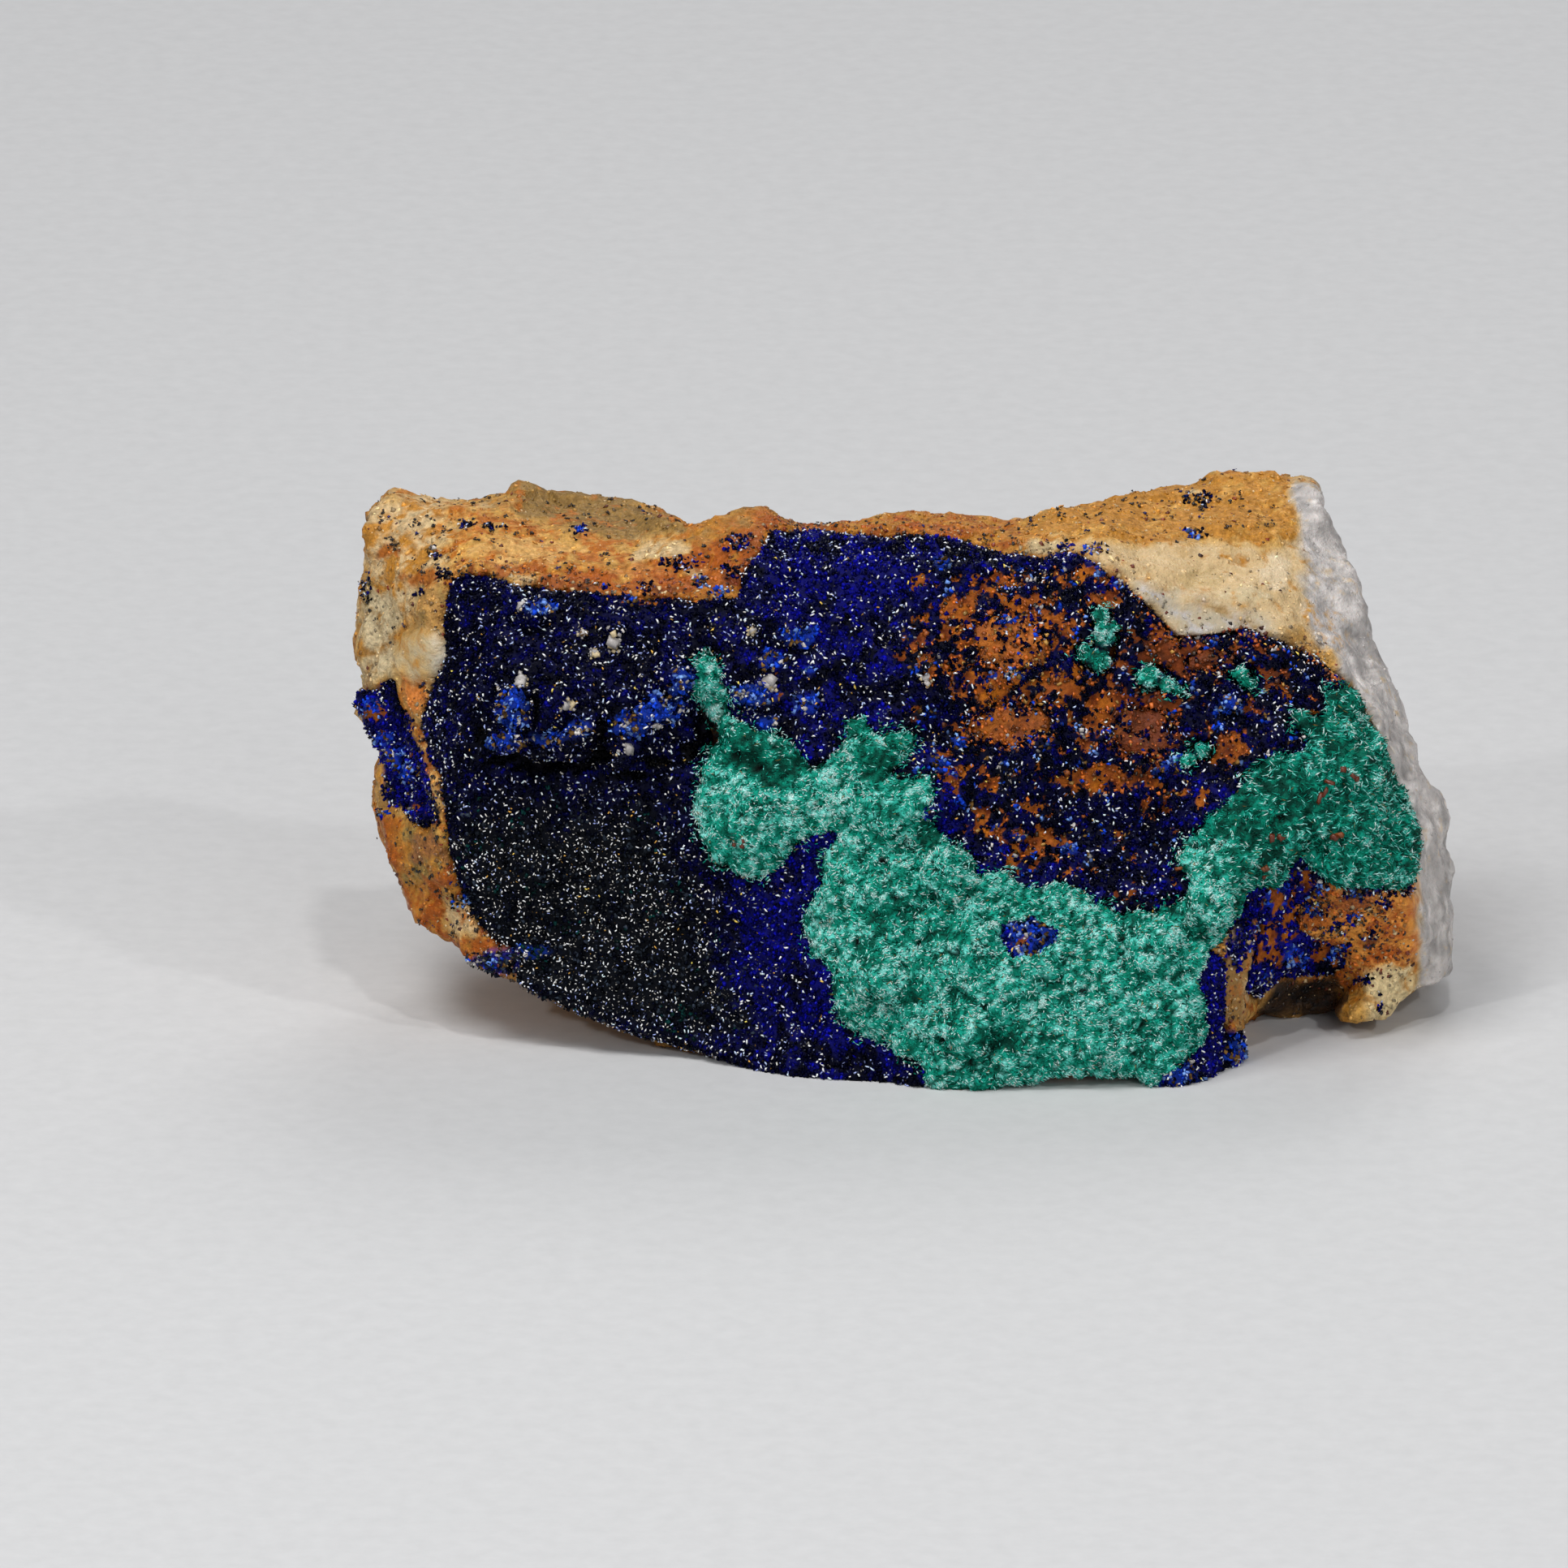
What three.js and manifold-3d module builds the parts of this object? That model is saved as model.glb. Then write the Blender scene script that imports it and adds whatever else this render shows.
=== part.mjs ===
// Azurite and malachite on iron-stained quartz: a broken hand specimen, millimetres, +Z up.
// It is modelled in the frame of its crusted face: u to the right, v up the face, w out of the face.
// At the end it is leaned back to stand on the flat break under its lower edge.
import * as THREE from "three";
import { ConvexGeometry } from "three/addons/geometries/ConvexGeometry.js";
import { ConvexHull } from "three/addons/math/ConvexHull.js";
import { ImprovedNoise } from "three/addons/math/ImprovedNoise.js";
import { mergeVertices } from "three/addons/utils/BufferGeometryUtils.js";
import Module from "manifold-3d";

const wasm = await Module();
wasm.setup();

// Driving dimensions
const LEAN = 18; // degrees that the face leans back from upright
const BASE_LEVEL = -18; // height of the flat break it rests on, from the middle of the face
const SPAN_U = 76; // block of stone that the specimen is cut from, along the face
const SPAN_V = 44; // the same, up the face
const FAR = 45; // reach of cutters in front of and behind the face
const CELL = 2.1; // spacing of the relief
const BED_CELL = 4; // spacing of the plainer surface under the crusts
const SIDE_STEP = 3; // spacing of the relief on the sides
const CRUST = 1.7; // thickness of the crystal crusts
const GAP = 0.3; // space kept between crust and rock
const ROUGH = 0.45; // how much the broken surfaces swell and sink

// Outline of the whole specimen seen along w
const OUTLINE = [
  [-33.9, 16.8], [-32.7, 18.4], [-30.9, 17.9], [-28.6, 17.8], [-25.4, 17.8], [-24.9, 18.8],
  [-21.4, 18.4], [-19.1, 18.0], [-17.3, 17.2], [-15.6, 16.9], [-14.0, 16.1], [-11.3, 16.6],
  [-10.7, 16.9], [-9.1, 16.9], [-6.7, 16.2], [-3.4, 16.3], [-0.3, 16.7], [3.4, 16.7], [6.0, 16.1],
  [7.6, 16.5], [9.5, 17.3], [14.2, 18.1], [16.8, 18.6], [18.7, 18.7], [20.1, 19.3], [22.9, 19.5],
  [24.2, 19.1], [25.9, 18.9], [26.4, 18.3], [27.0, 16.8], [27.9, 15.1], [28.6, 12.6], [29.6, 8.8],
  [31.1, 4.6], [32.6, 1.2], [34.4, -1.0], [34.5, -3.9], [34.8, -6.0], [34.5, -7.5], [34.7, -12.1],
  [34.2, -12.8], [31.8, -13.5], [30.8, -14.5], [29.6, -14.8], [28.1, -15.0], [27.1, -14.4],
  [24.5, -14.3], [22.9, -14.1], [21.4, -15.6], [21.1, -17.3], [18.9, -18.6], [16.8, -19.5],
  [14.9, -18.2], [13.1, -17.9], [10.1, -18.3], [6.4, -18.6], [3.9, -19.4], [1.3, -19.0],
  [-3.4, -18.6], [-6.4, -19.0], [-10.1, -17.8], [-14.7, -16.0], [-20.4, -14.1], [-25.5, -12.4],
  [-27.6, -11.9], [-28.3, -10.3], [-28.9, -9.5], [-30.7, -9.9], [-31.4, -8.0], [-32.5, -4.4],
  [-33.6, -1.5], [-33.6, -0.4], [-33.0, 2.1], [-34.5, 4.4], [-34.6, 5.3], [-33.8, 5.9],
  [-34.4, 8.5], [-34.6, 11.1], [-34.0, 13.1], [-34.0, 16.0],
];

// Depth of the front, as points u, v, w; flat breaks join neighbouring points
const FRONT = [
  // skyline along the top
  [-34, 17, -9], [-32.5, 18.5, -12], [-31, 18, -11], [-28.5, 18, -10], [-25.5, 18, -12], [-25, 19, -16.5],
  [-21.5, 18.5, -16.5], [-19, 18, -16], [-17.5, 17, -15], [-15.5, 17, -13.5], [-14, 16, -10.5],
  [-11.5, 16.5, -7], [-9, 17, -7], [-6.5, 16, -6], [-3.5, 16.5, -6], [-0.5, 16.5, -7], [3.5, 16.5, -7],
  [6, 16, -7], [7.5, 16.5, -10], [9.5, 17.5, -13], [14, 18, -16], [17, 18.5, -17], [20, 19.5, -17.5],
  [23, 19.5, -17.5], [26, 19, -16],
  // right rim
  [27, 17, -14], [28.5, 12.5, -12.5], [29.5, 9, -11], [31, 4.5, -11], [32.5, 1, -11], [34.5, -1, -12],
  [35, -6, -12], [34.5, -12, -12], [32, -13.5, -9], [29.5, -15, -8],
  // lower rim
  [27.5, -15, -12], [25, -14.5, -13], [23, -14, -10], [21.5, -15.5, -5], [21, -17.5, -4],
  [19, -18.5, -1], [17, -19.5, 0.5], [15, -18.5, 1.2], [10, -18.5, 1.5], [4, -19.5, 1.5],
  [1.5, -19, 0.8], [-3.5, -18.5, -0.5], [-6.5, -19, -1], [-10, -18, -2.5], [-14.5, -16, -4],
  [-20.5, -14, -4.8], [-25.5, -12.5, -5.5], [-27.5, -12, -6],
  // left rim
  [-28.5, -10.5, -6], [-30.5, -10, -8], [-31.5, -8, -9], [-32.5, -4.5, -9], [-33.5, -0.5, -10],
  [-33, 2, -9], [-34.5, 4.5, -9.5], [-34, 6, -9], [-34.5, 8.5, -10], [-34.5, 11, -10],
  [-34, 13.5, -9.5],
  // ledge at the top left
  [-31.5, 16, -7.5], [-33, 13.5, -8], [-30.5, 13.5, -5], [-29.5, 17, -8], [-27, 16, -6.5],
  [-24, 15.5, -6], [-21.5, 15.5, -5.5], [-19, 14.5, -4.5], [-17.5, 14, -4], [-26.5, 14, -3.5],
  [-22.5, 14, -3.2], [-19, 13, -2.4], [-15, 13, -2.2], [-12, 14, -2.8],
  // floor of the step behind the ledge
  [-26.5, 17, -10], [-23.5, 16.5, -10.5], [-20.5, 16, -10], [-17.5, 15, -8],
  // pale crest and the strip above the crust
  [-16, 15, -4], [-14.5, 15.5, -4.8], [-12.5, 16, -5.5], [-10, 15.5, -4], [-7, 15.5, -3.2],
  [-3, 15.5, -3.4], [1.5, 15.5, -3], [5, 14.5, -3],
  // top edge of the crust
  [-28, 13, -1.8], [-26, 13, -1.6], [-23.5, 12, -1], [-20.5, 12, -0.6], [-17.5, 12, -0.4],
  [-13.5, 11.5, 0.2], [-11, 11.5, 0.2], [-8.5, 14, -1], [-4, 14, -1], [1, 13.5, -0.7], [4.5, 13, -0.7],
  // left side with its cleft and vein
  [-34, 10.5, -8.5], [-32, 11, -6.5], [-30, 12, -4.2], [-29, 11.5, -3], [-32, 7, -6.5],
  [-31.5, 5.5, -5], [-30, 5.5, -3.6], [-31, 4, -4.4], [-30, 1.5, -3.6], [-29.5, -2, -3.4],
  [-28.5, -5, -3.4], [-32, 4.5, -8], [-31.5, 2, -7.5], [-31, -0.5, -7], [-31.5, -3, -7],
  [-30.5, -4.5, -6], [-29.5, -6.5, -5.4], [-28, -8, -4.6], [-29.5, -9, -6.4], [-27, -10.5, -5],
  // band of knobs, with the drop and the pit under it
  [-28.5, 10, -1.2], [-26.5, 10.5, -0.2], [-24, 11.5, 0.8], [-21.5, 9.5, 0.6], [-18.5, 9, 1],
  [-28.5, 5.5, -1], [-27, 3.5, 0.4], [-24.5, 5, 2], [-21.5, 5, 1.8], [-25, 2.5, 2], [-22, 2.5, 2],
  [-15, 6, 1.6], [-17, 4, 2], [-18, 1.5, 2], [-26.5, 1, -0.6], [-23.5, 1, -0.4], [-20, 0.5, -0.2],
  [-15.5, 0.5, -0.2], [-12.5, 4, -1.6], [-14, 2, -0.6],
  // plain field at the lower left, which faces down
  [-28.5, 1, -2.4], [-29, -4.5, -3.2], [-25.5, -2.5, -1.8], [-21.5, -2.5, -1], [-16, -2.5, -0.6],
  [-25.5, -7, -3.6], [-20.5, -8, -3], [-15, -8.5, -2.4], [-11, -7.5, -1.4], [-8, -8, -0.8],
  [-15, -13.5, -3.8], [-10, -14.5, -2.4], [-7, -13.5, -1.4], [-6, -17, -1.2], [-2, -17, -0.4],
  // malachite lobe and the ridge beside it
  [-12.5, 6.5, 1.2], [-11, 2.5, 1], [-12, -1, 1], [-10, -3, 2], [-8, -2, 1.4], [-9.5, -5, 0.8],
  [-9.5, -6, -0.6], [-5, 0, 1.6], [-1.5, 1.5, 1.4], [-2.5, -1.5, 1.6], [-5.5, -4, -0.2],
  [0.5, -2.5, 1.2],
  // main swell of malachite
  [-2.5, -5, 1.6], [-5, -8, 1.2], [-4, -12, 1.4], [-1, -11, 2.2], [4.5, -12, 2.6], [9.5, -13.5, 2.6],
  [14.5, -13, 2.2], [7, -16.5, 2.2], [14.5, -16.5, 1.6], [1, -15.5, 1.6], [3.5, -7.5, 2], [7, -9, 2],
  [11.5, -9.5, 1.6], [15.5, -10, 1.5], [19, -7.5, 1.8], [18.5, -12, 1.2], [17.5, -15.5, 0.8],
  // basin and valley above it
  [3.5, -4.5, 0.4], [7.5, -6, 0.2], [12, -7.5, 0.2], [15.5, -8, 0.2], [3, 1, 0.2], [7, 0.5, -0.8],
  [9.5, -2, -1.6], [12, -4, -1.8], [8, -4.5, -1.4], [14.5, -5.5, -1.6], [16, -2, -1], [13.5, 1.5, -0.6],
  // middle of the face
  [-8, 10.5, 0.6], [-6, 6.5, 0.8], [-8.5, 5.5, 1.2], [-2, 8.5, 0.2], [1.5, 6, 0.6], [4.5, 9, 0],
  [7, 5, -0.2], [9.5, 10.5, -0.6], [11.5, 6, -0.6], [15, 5, -1.2], [17, 8, -1.8], [20, 7, -1.8],
  [21.5, 3, -0.3], [19, 3.5, -1.1], [25, 6, -2.2], [24, 3.5, -1.2],
  // malachite on the right
  [20, -1, 0.2], [23, -1, 0.5], [27, 2, -1.2], [30, -2, -2.4], [31, -5.5, -3.4], [26, -2.5, -0.6],
  [22.5, -5, 0.3], [27.5, -5.5, -2], [25, -5, -2.4],
  // right edge of the crust
  [11, 14.5, -1.5], [13.5, 13, -1.6], [17, 9.5, -2], [20, 9, -2.2], [23.5, 8.5, -2.8], [27, 7, -3.2],
  [28, 5, -3.2], [30, 1, -3.4], [32, -4, -4.2], [32.5, -6.5, -4.8],
  // pale quartz on the right side
  [19, 10.5, -2.6], [23, 10, -4], [27, 8.5, -4.6], [29.5, 4, -4.8], [31.5, 0.5, -5.6],
  [33.5, -2.5, -8.4], [33, -7, -8], [33.5, -11.5, -9.5],
  // pale break at the top right
  [9.5, 15.5, -5], [12, 15.5, -5], [15.5, 15, -6.5], [20, 14.5, -8], [24.5, 14.5, -9.5],
  [14.5, 14, -3.5], [18, 13, -4.6], [22, 12, -5.4], [25.5, 10.5, -6], [28, 12, -10.5], [29, 8, -8.5],
  // speckled top behind it
  [8, 16, -8], [11.5, 16, -9], [15, 17, -11], [19.5, 17, -12], [23.5, 17, -12.5], [20, 18.5, -15],
  [25.5, 18, -14.5], [25.5, 14.5, -10.5],
  // broken corner at the lower right
  [20, -8.5, 0.2], [21, -9, -1], [20, -11.5, -0.6], [20.5, -13, -1], [20, -15, -1.2],
  [19.5, -17.5, -1.2], [22.5, -8, -2], [21.5, -11, -2.2], [24.5, -7, -5], [24.5, -10, -6],
  [27.5, -8, -6], [27.5, -10.5, -7], [30, -8, -6], [31.5, -9.5, -6.6], [22.5, -12, -4.6],
  [24, -12.5, -6.5], [27, -12.5, -7.5], [30, -11.5, -7.6], [32, -12, -8.4], [25, -13, -12],
  [27.5, -13, -12], [28.5, -14, -7],
  // beyond the outline
  [-50, -40, -9], [50, -40, -9], [-50, 40, -14], [50, 40, -20], [-50, 0, -12], [50, 0, -14],
];

// Depth of the back, in the same way
const BACK = [
  [-34, 17, -14], [-29, 18, -16.5], [-24, 19, -21], [-18, 18, -20], [-13, 16, -16.5], [-6, 16.5, -14],
  [2, 16.5, -14.5], [8, 17, -17], [16, 19, -21], [23, 19.5, -22.5], [27, 17, -20], [30, 9, -18],
  [34, 0, -18], [35, -7, -19], [34.5, -13, -19], [30, -15, -23], [20, -16, -27], [5, -19, -28],
  [-12, -17, -28], [-24, -13, -26], [-29, -10, -20], [-32, -5, -16], [-34, 4, -16], [-34.5, 11, -16],
  [-26, 9, -22.5], [-28, -2, -22], [-15, 10, -21.5], [-18, -4, -26.5], [-4, 10, -19.5],
  [-3, -2, -25.5], [8, 9, -22], [12, -6, -27], [20, 10, -24.5], [26, 2, -24.5], [25, -8, -26],
  [15, 3, -23.5], [-50, -40, -20], [50, -40, -20], [-50, 40, -20], [50, 40, -24],
];

// Edges of the crusts on the face; points past the outline let a crust run over the edge
const FACE = [
  [-28.5, 12.5], [-27.8, 13.0], [-26.4, 12.9], [-24.5, 12.2], [-21.4, 11.9], [-16.8, 11.4],
  [-12.6, 11.3], [-10.2, 11.6], [-9.9, 13.4], [-9.0, 14.4], [-8.4, 15.7], [-5.9, 15.8], [-1.8, 15.3],
  [1.8, 15.4], [4.4, 14.8], [6.7, 14.1], [9.0, 14.3], [11.1, 14.2], [12.7, 13.0], [14.7, 11.3],
  [17.0, 9.0], [19.8, 9.0], [21.5, 9.6], [23.5, 8.7], [25.6, 7.9], [28.2, 5.8], [29.8, 2.6],
  [31.6, -0.9], [32.3, -3.9], [31.8, -6.2], [27.5, -6.2], [24.8, -4.2], [23.5, -6.2], [21.5, -6.4],
  [20.7, -8.6], [19.0, -10.5], [18.0, -12.4], [18.8, -14.3], [18.6, -16.6], [16.8, -17.8],
  [15.6, -18.9], [15.0, -21.0], [-8.0, -21.5], [-20.0, -17.5], [-25.2, -14.5], [-24.5, -12.6],
  [-24.0, -10.3], [-25.9, -9.9], [-27.0, -8.4], [-28.1, -6.2], [-28.6, -3.9], [-28.8, -1.5],
  [-29.2, 0.8], [-29.9, 1.8], [-30.2, 3.4], [-30.2, 4.4], [-29.6, 5.9], [-28.8, 7.7], [-28.9, 10.3],
];
const MALACHITE = [
  [-13.9, 6.2], [-13.4, 7.1], [-13.0, 8.2], [-12.2, 8.2], [-11.8, 6.5], [-10.9, 5.4], [-11.5, 4.8],
  [-10.8, 3.8], [-9.5, 3.0], [-8.1, 2.9], [-6.7, 2.0], [-5.9, 0.9], [-4.6, 1.6], [-3.7, 2.7],
  [-3.5, 4.0], [-2.6, 4.0], [-2.0, 2.5], [-0.8, 2.9], [0.1, 3.1], [0.2, 1.8], [-0.9, 1.0],
  [-0.8, -0.1], [1.3, 0.1], [1.6, -0.8], [0.8, -1.9], [1.7, -2.6], [2.4, -4.0], [4.0, -5.0],
  [4.2, -6.0], [6.1, -6.0], [7.6, -7.1], [9.5, -6.5], [10.7, -6.6], [11.9, -7.8], [13.2, -8.4],
  [15.7, -8.2], [17.8, -7.5], [18.3, -6.4], [17.6, -5.5], [18.0, -3.6], [19.8, -1.8], [21.4, -0.1],
  [22.5, 1.2], [25.0, 1.8], [25.8, 2.7], [24.6, 3.6], [24.6, 4.4], [26.6, 3.9], [26.5, 5.6],
  [28.2, 5.8], [29.8, 2.6], [31.6, -0.9], [32.3, -3.9], [31.8, -6.2], [27.5, -6.2], [24.8, -4.2],
  [23.5, -6.2], [21.5, -6.4], [20.7, -8.6], [19.0, -10.5], [18.0, -12.4], [18.8, -14.3],
  [18.6, -16.6], [16.8, -17.8], [15.6, -18.9], [15.0, -21.0], [0.8, -21.3], [1.3, -19.0],
  [1.6, -17.6], [-0.8, -16.4], [-3.6, -15.0], [-4.3, -13.5], [-4.4, -11.6], [-5.7, -10.5],
  [-6.2, -8.4], [-4.9, -6.4], [-4.7, -4.3], [-3.4, -2.9], [-5.4, -2.8], [-6.4, -3.0], [-7.2, -4.2],
  [-8.7, -5.4], [-10.2, -5.6], [-11.7, -4.8], [-12.8, -2.9], [-13.2, -1.7], [-12.7, 0.8],
  [-11.9, 2.4], [-11.5, 3.7], [-12.5, 5.0],
];
const AZURITE_WINDOW = [
  [6.3, -9.2], [7.6, -8.9], [8.9, -9.4], [9.0, -10.3], [7.9, -11.0], [6.6, -10.7], [6.1, -9.9],
];
const SIDE_PATCH = [
  [-32.4, 6.6], [-32.2, 5.4], [-31.8, 4.4], [-31.6, 3.4], [-31.0, 1.8], [-30.6, 0.6], [-30.1, -1.8],
  [-30.0, -2.7], [-30.9, -2.3], [-32.1, -1.3], [-32.7, 0.4], [-33.0, 2.0], [-35.4, 3.6],
  [-35.6, 5.4], [-33.2, 5.8],
];
const RECESS_PATCH = [
  [22.7, -6.0], [25.0, -4.0], [26.8, -5.7], [25.5, -7.2], [24.5, -7.9], [25.0, -9.5], [27.1, -10.1],
  [28.1, -11.1], [27.1, -12.0], [25.0, -11.9], [23.7, -12.2], [22.4, -13.4], [21.5, -13.0],
  [22.2, -10.6], [22.6, -8.4], [21.5, -7.9], [21.4, -6.0],
];
const FOOT_PATCH = [
  [18.0, -10.2], [19.9, -11.3], [19.9, -15.0], [20.0, -16.6], [21.0, -16.0], [22.6, -17.0],
  [20.0, -21.0], [14.8, -21.5], [15.2, -18.0], [17.5, -15.0],
];
const TUFTS = {
  malachite_tuft_top: [
    [11.9, 11.0], [13.1, 10.6], [13.4, 9.0], [12.9, 7.2], [11.9, 6.9], [10.7, 7.9], [10.8, 8.6],
    [12.0, 8.8], [11.8, 9.8],
  ],
  malachite_tuft_middle: [
    [14.7, 6.7], [15.3, 7.3], [16.3, 7.2], [17.3, 6.4], [17.5, 5.8], [16.5, 5.9], [15.2, 6.1],
  ],
  malachite_tuft_right: [[20.9, 7.4], [21.9, 7.3], [22.3, 6.2], [21.4, 5.7], [20.8, 6.4]],
  malachite_tuft_low: [[17.4, 1.9], [18.6, 2.7], [19.4, 2.5], [19.3, 1.7], [18.0, 1.1], [17.4, 1.2]],
};
const LIMONITE_WINDOWS = [
  [[4.1, 9.8], [5.7, 10.7], [7.6, 9.9], [9.0, 9.0], [8.5, 7.4], [6.4, 7.1], [4.6, 7.9]],
  [[3.9, 4.1], [5.7, 5.0], [8.8, 4.8], [9.5, 3.4], [7.0, 2.2], [4.4, 2.6]],
  [[13.9, 4.9], [16.2, 4.6], [17.0, 3.6], [16.2, 1.5], [13.9, 1.8], [12.7, 3.4]],
  [[17.6, 8.1], [20.0, 8.1], [20.0, 7.2], [17.8, 7.0]],
];

// Knobs and crystals that stand out of the azurite: u, v, reach, how many
const AZURITE_KNOBS = [
  [-24.5, 4.4, 1.5, 3], [-21.4, 4.8, 1.0, 2], [-25.2, 2.6, 1.2, 2], [-22.2, 2.6, 1.4, 3],
  [-16.8, 3.9, 1.3, 3], [-17.8, 1.8, 1.0, 2], [-15.2, 5.8, 1.2, 2], [-23.6, 11.0, 0.8, 1],
  [-18.2, 9.2, 0.6, 1], [-9.3, 5.9, 1.2, 2], [-7.3, 9.2, 0.9, 2], [1.4, 6.4, 0.5, 1],
  [6.5, 6.6, 0.4, 1], [20.4, 5.2, 0.5, 1], [-5.5, 12.5, 1.6, 1], [-3.0, 6.0, 1.6, 1],
];
const LUMP_SPACING = 4.3; // between lumps of malachite
const LUMP_SIZE = 1.8;

const noise = new ImprovedNoise();
let seed = 7;

// Repeatable draw between two values.
function draw(low, high) {
  seed = (seed * 16807) % 2147483647;
  return low + ((high - low) * seed) / 2147483647;
}

// A closed geometry as a solid that can be joined and cut.
function solid(geometry) {
  const plain = geometry.clone();
  plain.deleteAttribute("normal");
  plain.deleteAttribute("uv");
  const welded = mergeVertices(plain, 1e-4);
  const vertProperties = new Float32Array(welded.attributes.position.array);
  const triVerts = new Uint32Array(welded.index.array);
  return new wasm.Manifold(new wasm.Mesh({ numProp: 3, vertProperties, triVerts }));
}

// The surface of a solid as a geometry.
function geometryOf(body) {
  const mesh = body.getMesh();
  const geometry = new THREE.BufferGeometry();
  geometry.setAttribute("position", new THREE.BufferAttribute(mesh.vertProperties, 3));
  geometry.setIndex(new THREE.BufferAttribute(new Uint32Array(mesh.triVerts), 1));
  return geometry;
}

// Flat triangles between scattered depth points, found as the underside of their lifted hull.
function breaks(rows) {
  const lifted = rows.map(([u, v, w]) => {
    const point = new THREE.Vector3(u, v, (u * u + v * v) / 50);
    point.depth = w;
    return point;
  });
  const hull = new ConvexHull().setFromPoints(lifted);
  const facets = [];
  for (const face of hull.faces) {
    if (face.normal.z > -1e-9) continue;
    const a = face.edge.head().point;
    const b = face.edge.next.head().point;
    const c = face.edge.next.next.head().point;
    facets.push([a, b, c]);
  }
  return (u, v) => {
    let best = null;
    let bestInside = -Infinity;
    for (const [a, b, c] of facets) {
      const area = (b.x - a.x) * (c.y - a.y) - (c.x - a.x) * (b.y - a.y);
      const weightB = ((u - a.x) * (c.y - a.y) - (c.x - a.x) * (v - a.y)) / area;
      const weightC = ((b.x - a.x) * (v - a.y) - (u - a.x) * (b.y - a.y)) / area;
      const inside = Math.min(weightB, weightC, 1 - weightB - weightC);
      if (inside > bestInside) {
        bestInside = inside;
        best = (1 - weightB - weightC) * a.depth + weightB * b.depth + weightC * c.depth;
      }
    }
    return best;
  };
}

// A point pushed about a little, the same for all surfaces that pass through it.
function pushed(u, v, w) {
  const push = [31.7, 11.3, 47.1].map((start) => {
    const broad = noise.noise(u / 6 + start, v / 6, w / 6);
    const close = noise.noise(u / 2.3, v / 2.3 + start, w / 2.3);
    return ROUGH * (1.6 * broad + close);
  });
  return [u + push[0], v + push[1], w + push[2]];
}

// Stone from far behind up to the given depth, less a drop.
function upTo(depth, cell, drop = 0) {
  const across = Math.round(SPAN_U / cell);
  const up = Math.round(SPAN_V / cell);
  const block = new THREE.BoxGeometry(SPAN_U, SPAN_V, 1, across, up, 1);
  const position = block.attributes.position;
  for (let i = 0; i < position.count; i++) {
    const u = position.getX(i);
    const v = position.getY(i);
    if (position.getZ(i) > 0) {
      const [pu, pv, pw] = pushed(u, v, depth(u, v));
      position.setXYZ(i, pu, pv, pw - drop);
    } else {
      position.setZ(i, -FAR);
    }
  }
  return solid(block);
}

// An outline moved outward by a distance; it runs either way round.
function grown(outline, distance) {
  const side = THREE.ShapeUtils.area(outline.map(([u, v]) => new THREE.Vector2(u, v))) > 0 ? 1 : -1;
  return outline.map(([u, v], i) => {
    const [pu, pv] = outline.at(i - 1);
    const [nu, nv] = outline[(i + 1) % outline.length];
    const before = new THREE.Vector2(v - pv, pu - u).normalize();
    const after = new THREE.Vector2(nv - v, u - nu).normalize();
    const out = before.clone().add(after).normalize();
    const reach = distance / Math.max(out.dot(before), 0.5);
    return [u + side * out.x * reach, v + side * out.y * reach];
  });
}

// The space straight in front of and behind an outline.
function column(outline) {
  const shape = new THREE.Shape(outline.map(([u, v]) => new THREE.Vector2(u, v)));
  const geometry = new THREE.ExtrudeGeometry(shape, { depth: 2 * FAR, bevelEnabled: false });
  return solid(geometry.translate(0, 0, -FAR));
}

// The sides of the specimen, rough all the way back.
function brokenSides() {
  const shape = new THREE.Shape(OUTLINE.map(([u, v]) => new THREE.Vector2(u, v)));
  const steps = Math.round((2 * FAR) / SIDE_STEP);
  const sides = new THREE.ExtrudeGeometry(shape, { depth: 2 * FAR, steps, bevelEnabled: false });
  sides.translate(0, 0, -FAR);
  const position = sides.attributes.position;
  for (let i = 0; i < position.count; i++) {
    position.setXYZ(i, ...pushed(position.getX(i), position.getY(i), position.getZ(i)));
  }
  return solid(sides);
}

// Whether a point is within an outline.
function within([u, v], outline) {
  let inside = false;
  for (let i = 0; i < outline.length; i++) {
    const [au, av] = outline[i];
    const [bu, bv] = outline.at(i - 1);
    if (av > v !== bv > v && u < ((bu - au) * (v - av)) / (bv - av) + au) inside = !inside;
  }
  return inside;
}

// A blunt blade with wedge-shaped ends, as azurite grows.
function crystal(size, center) {
  const half = [draw(0.4, 0.6) * size, draw(0.25, 0.4) * size, draw(0.7, 0.95) * size];
  const points = [];
  for (const end of [-1, 1]) {
    points.push(new THREE.Vector3(end * half[0], 0, -half[2] * 0.6));
    points.push(new THREE.Vector3(end * half[0], 0, half[2] * 0.6));
    for (const side of [-1, 1]) {
      points.push(new THREE.Vector3(side * half[0] * 0.3, end * half[1], side * half[2]));
    }
  }
  const blade = new ConvexGeometry(points);
  blade.rotateX(draw(-0.9, 0.9)).rotateY(draw(-0.9, 0.9)).rotateZ(draw(0, 3.1));
  return solid(blade.translate(...center));
}

// A rounded lump of felted needles.
function lump(size, center) {
  const ball = new THREE.IcosahedronGeometry(size, 0);
  ball.rotateX(draw(0, 3)).rotateY(draw(0, 3));
  ball.scale(draw(0.85, 1.2), draw(0.8, 1.1), draw(0.6, 0.8));
  return solid(ball.translate(...center));
}

// The block of rock
const frontBreaks = breaks(FRONT);
const backBreaks = breaks(BACK);
const front = (u, v) => frontBreaks(u, v) + 0.3 * noise.noise(u / 1.9, v / 1.9, 3.1);
const block = upTo(front, CELL).intersect(brokenSides()).subtract(upTo(backBreaks, BED_CELL));

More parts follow.
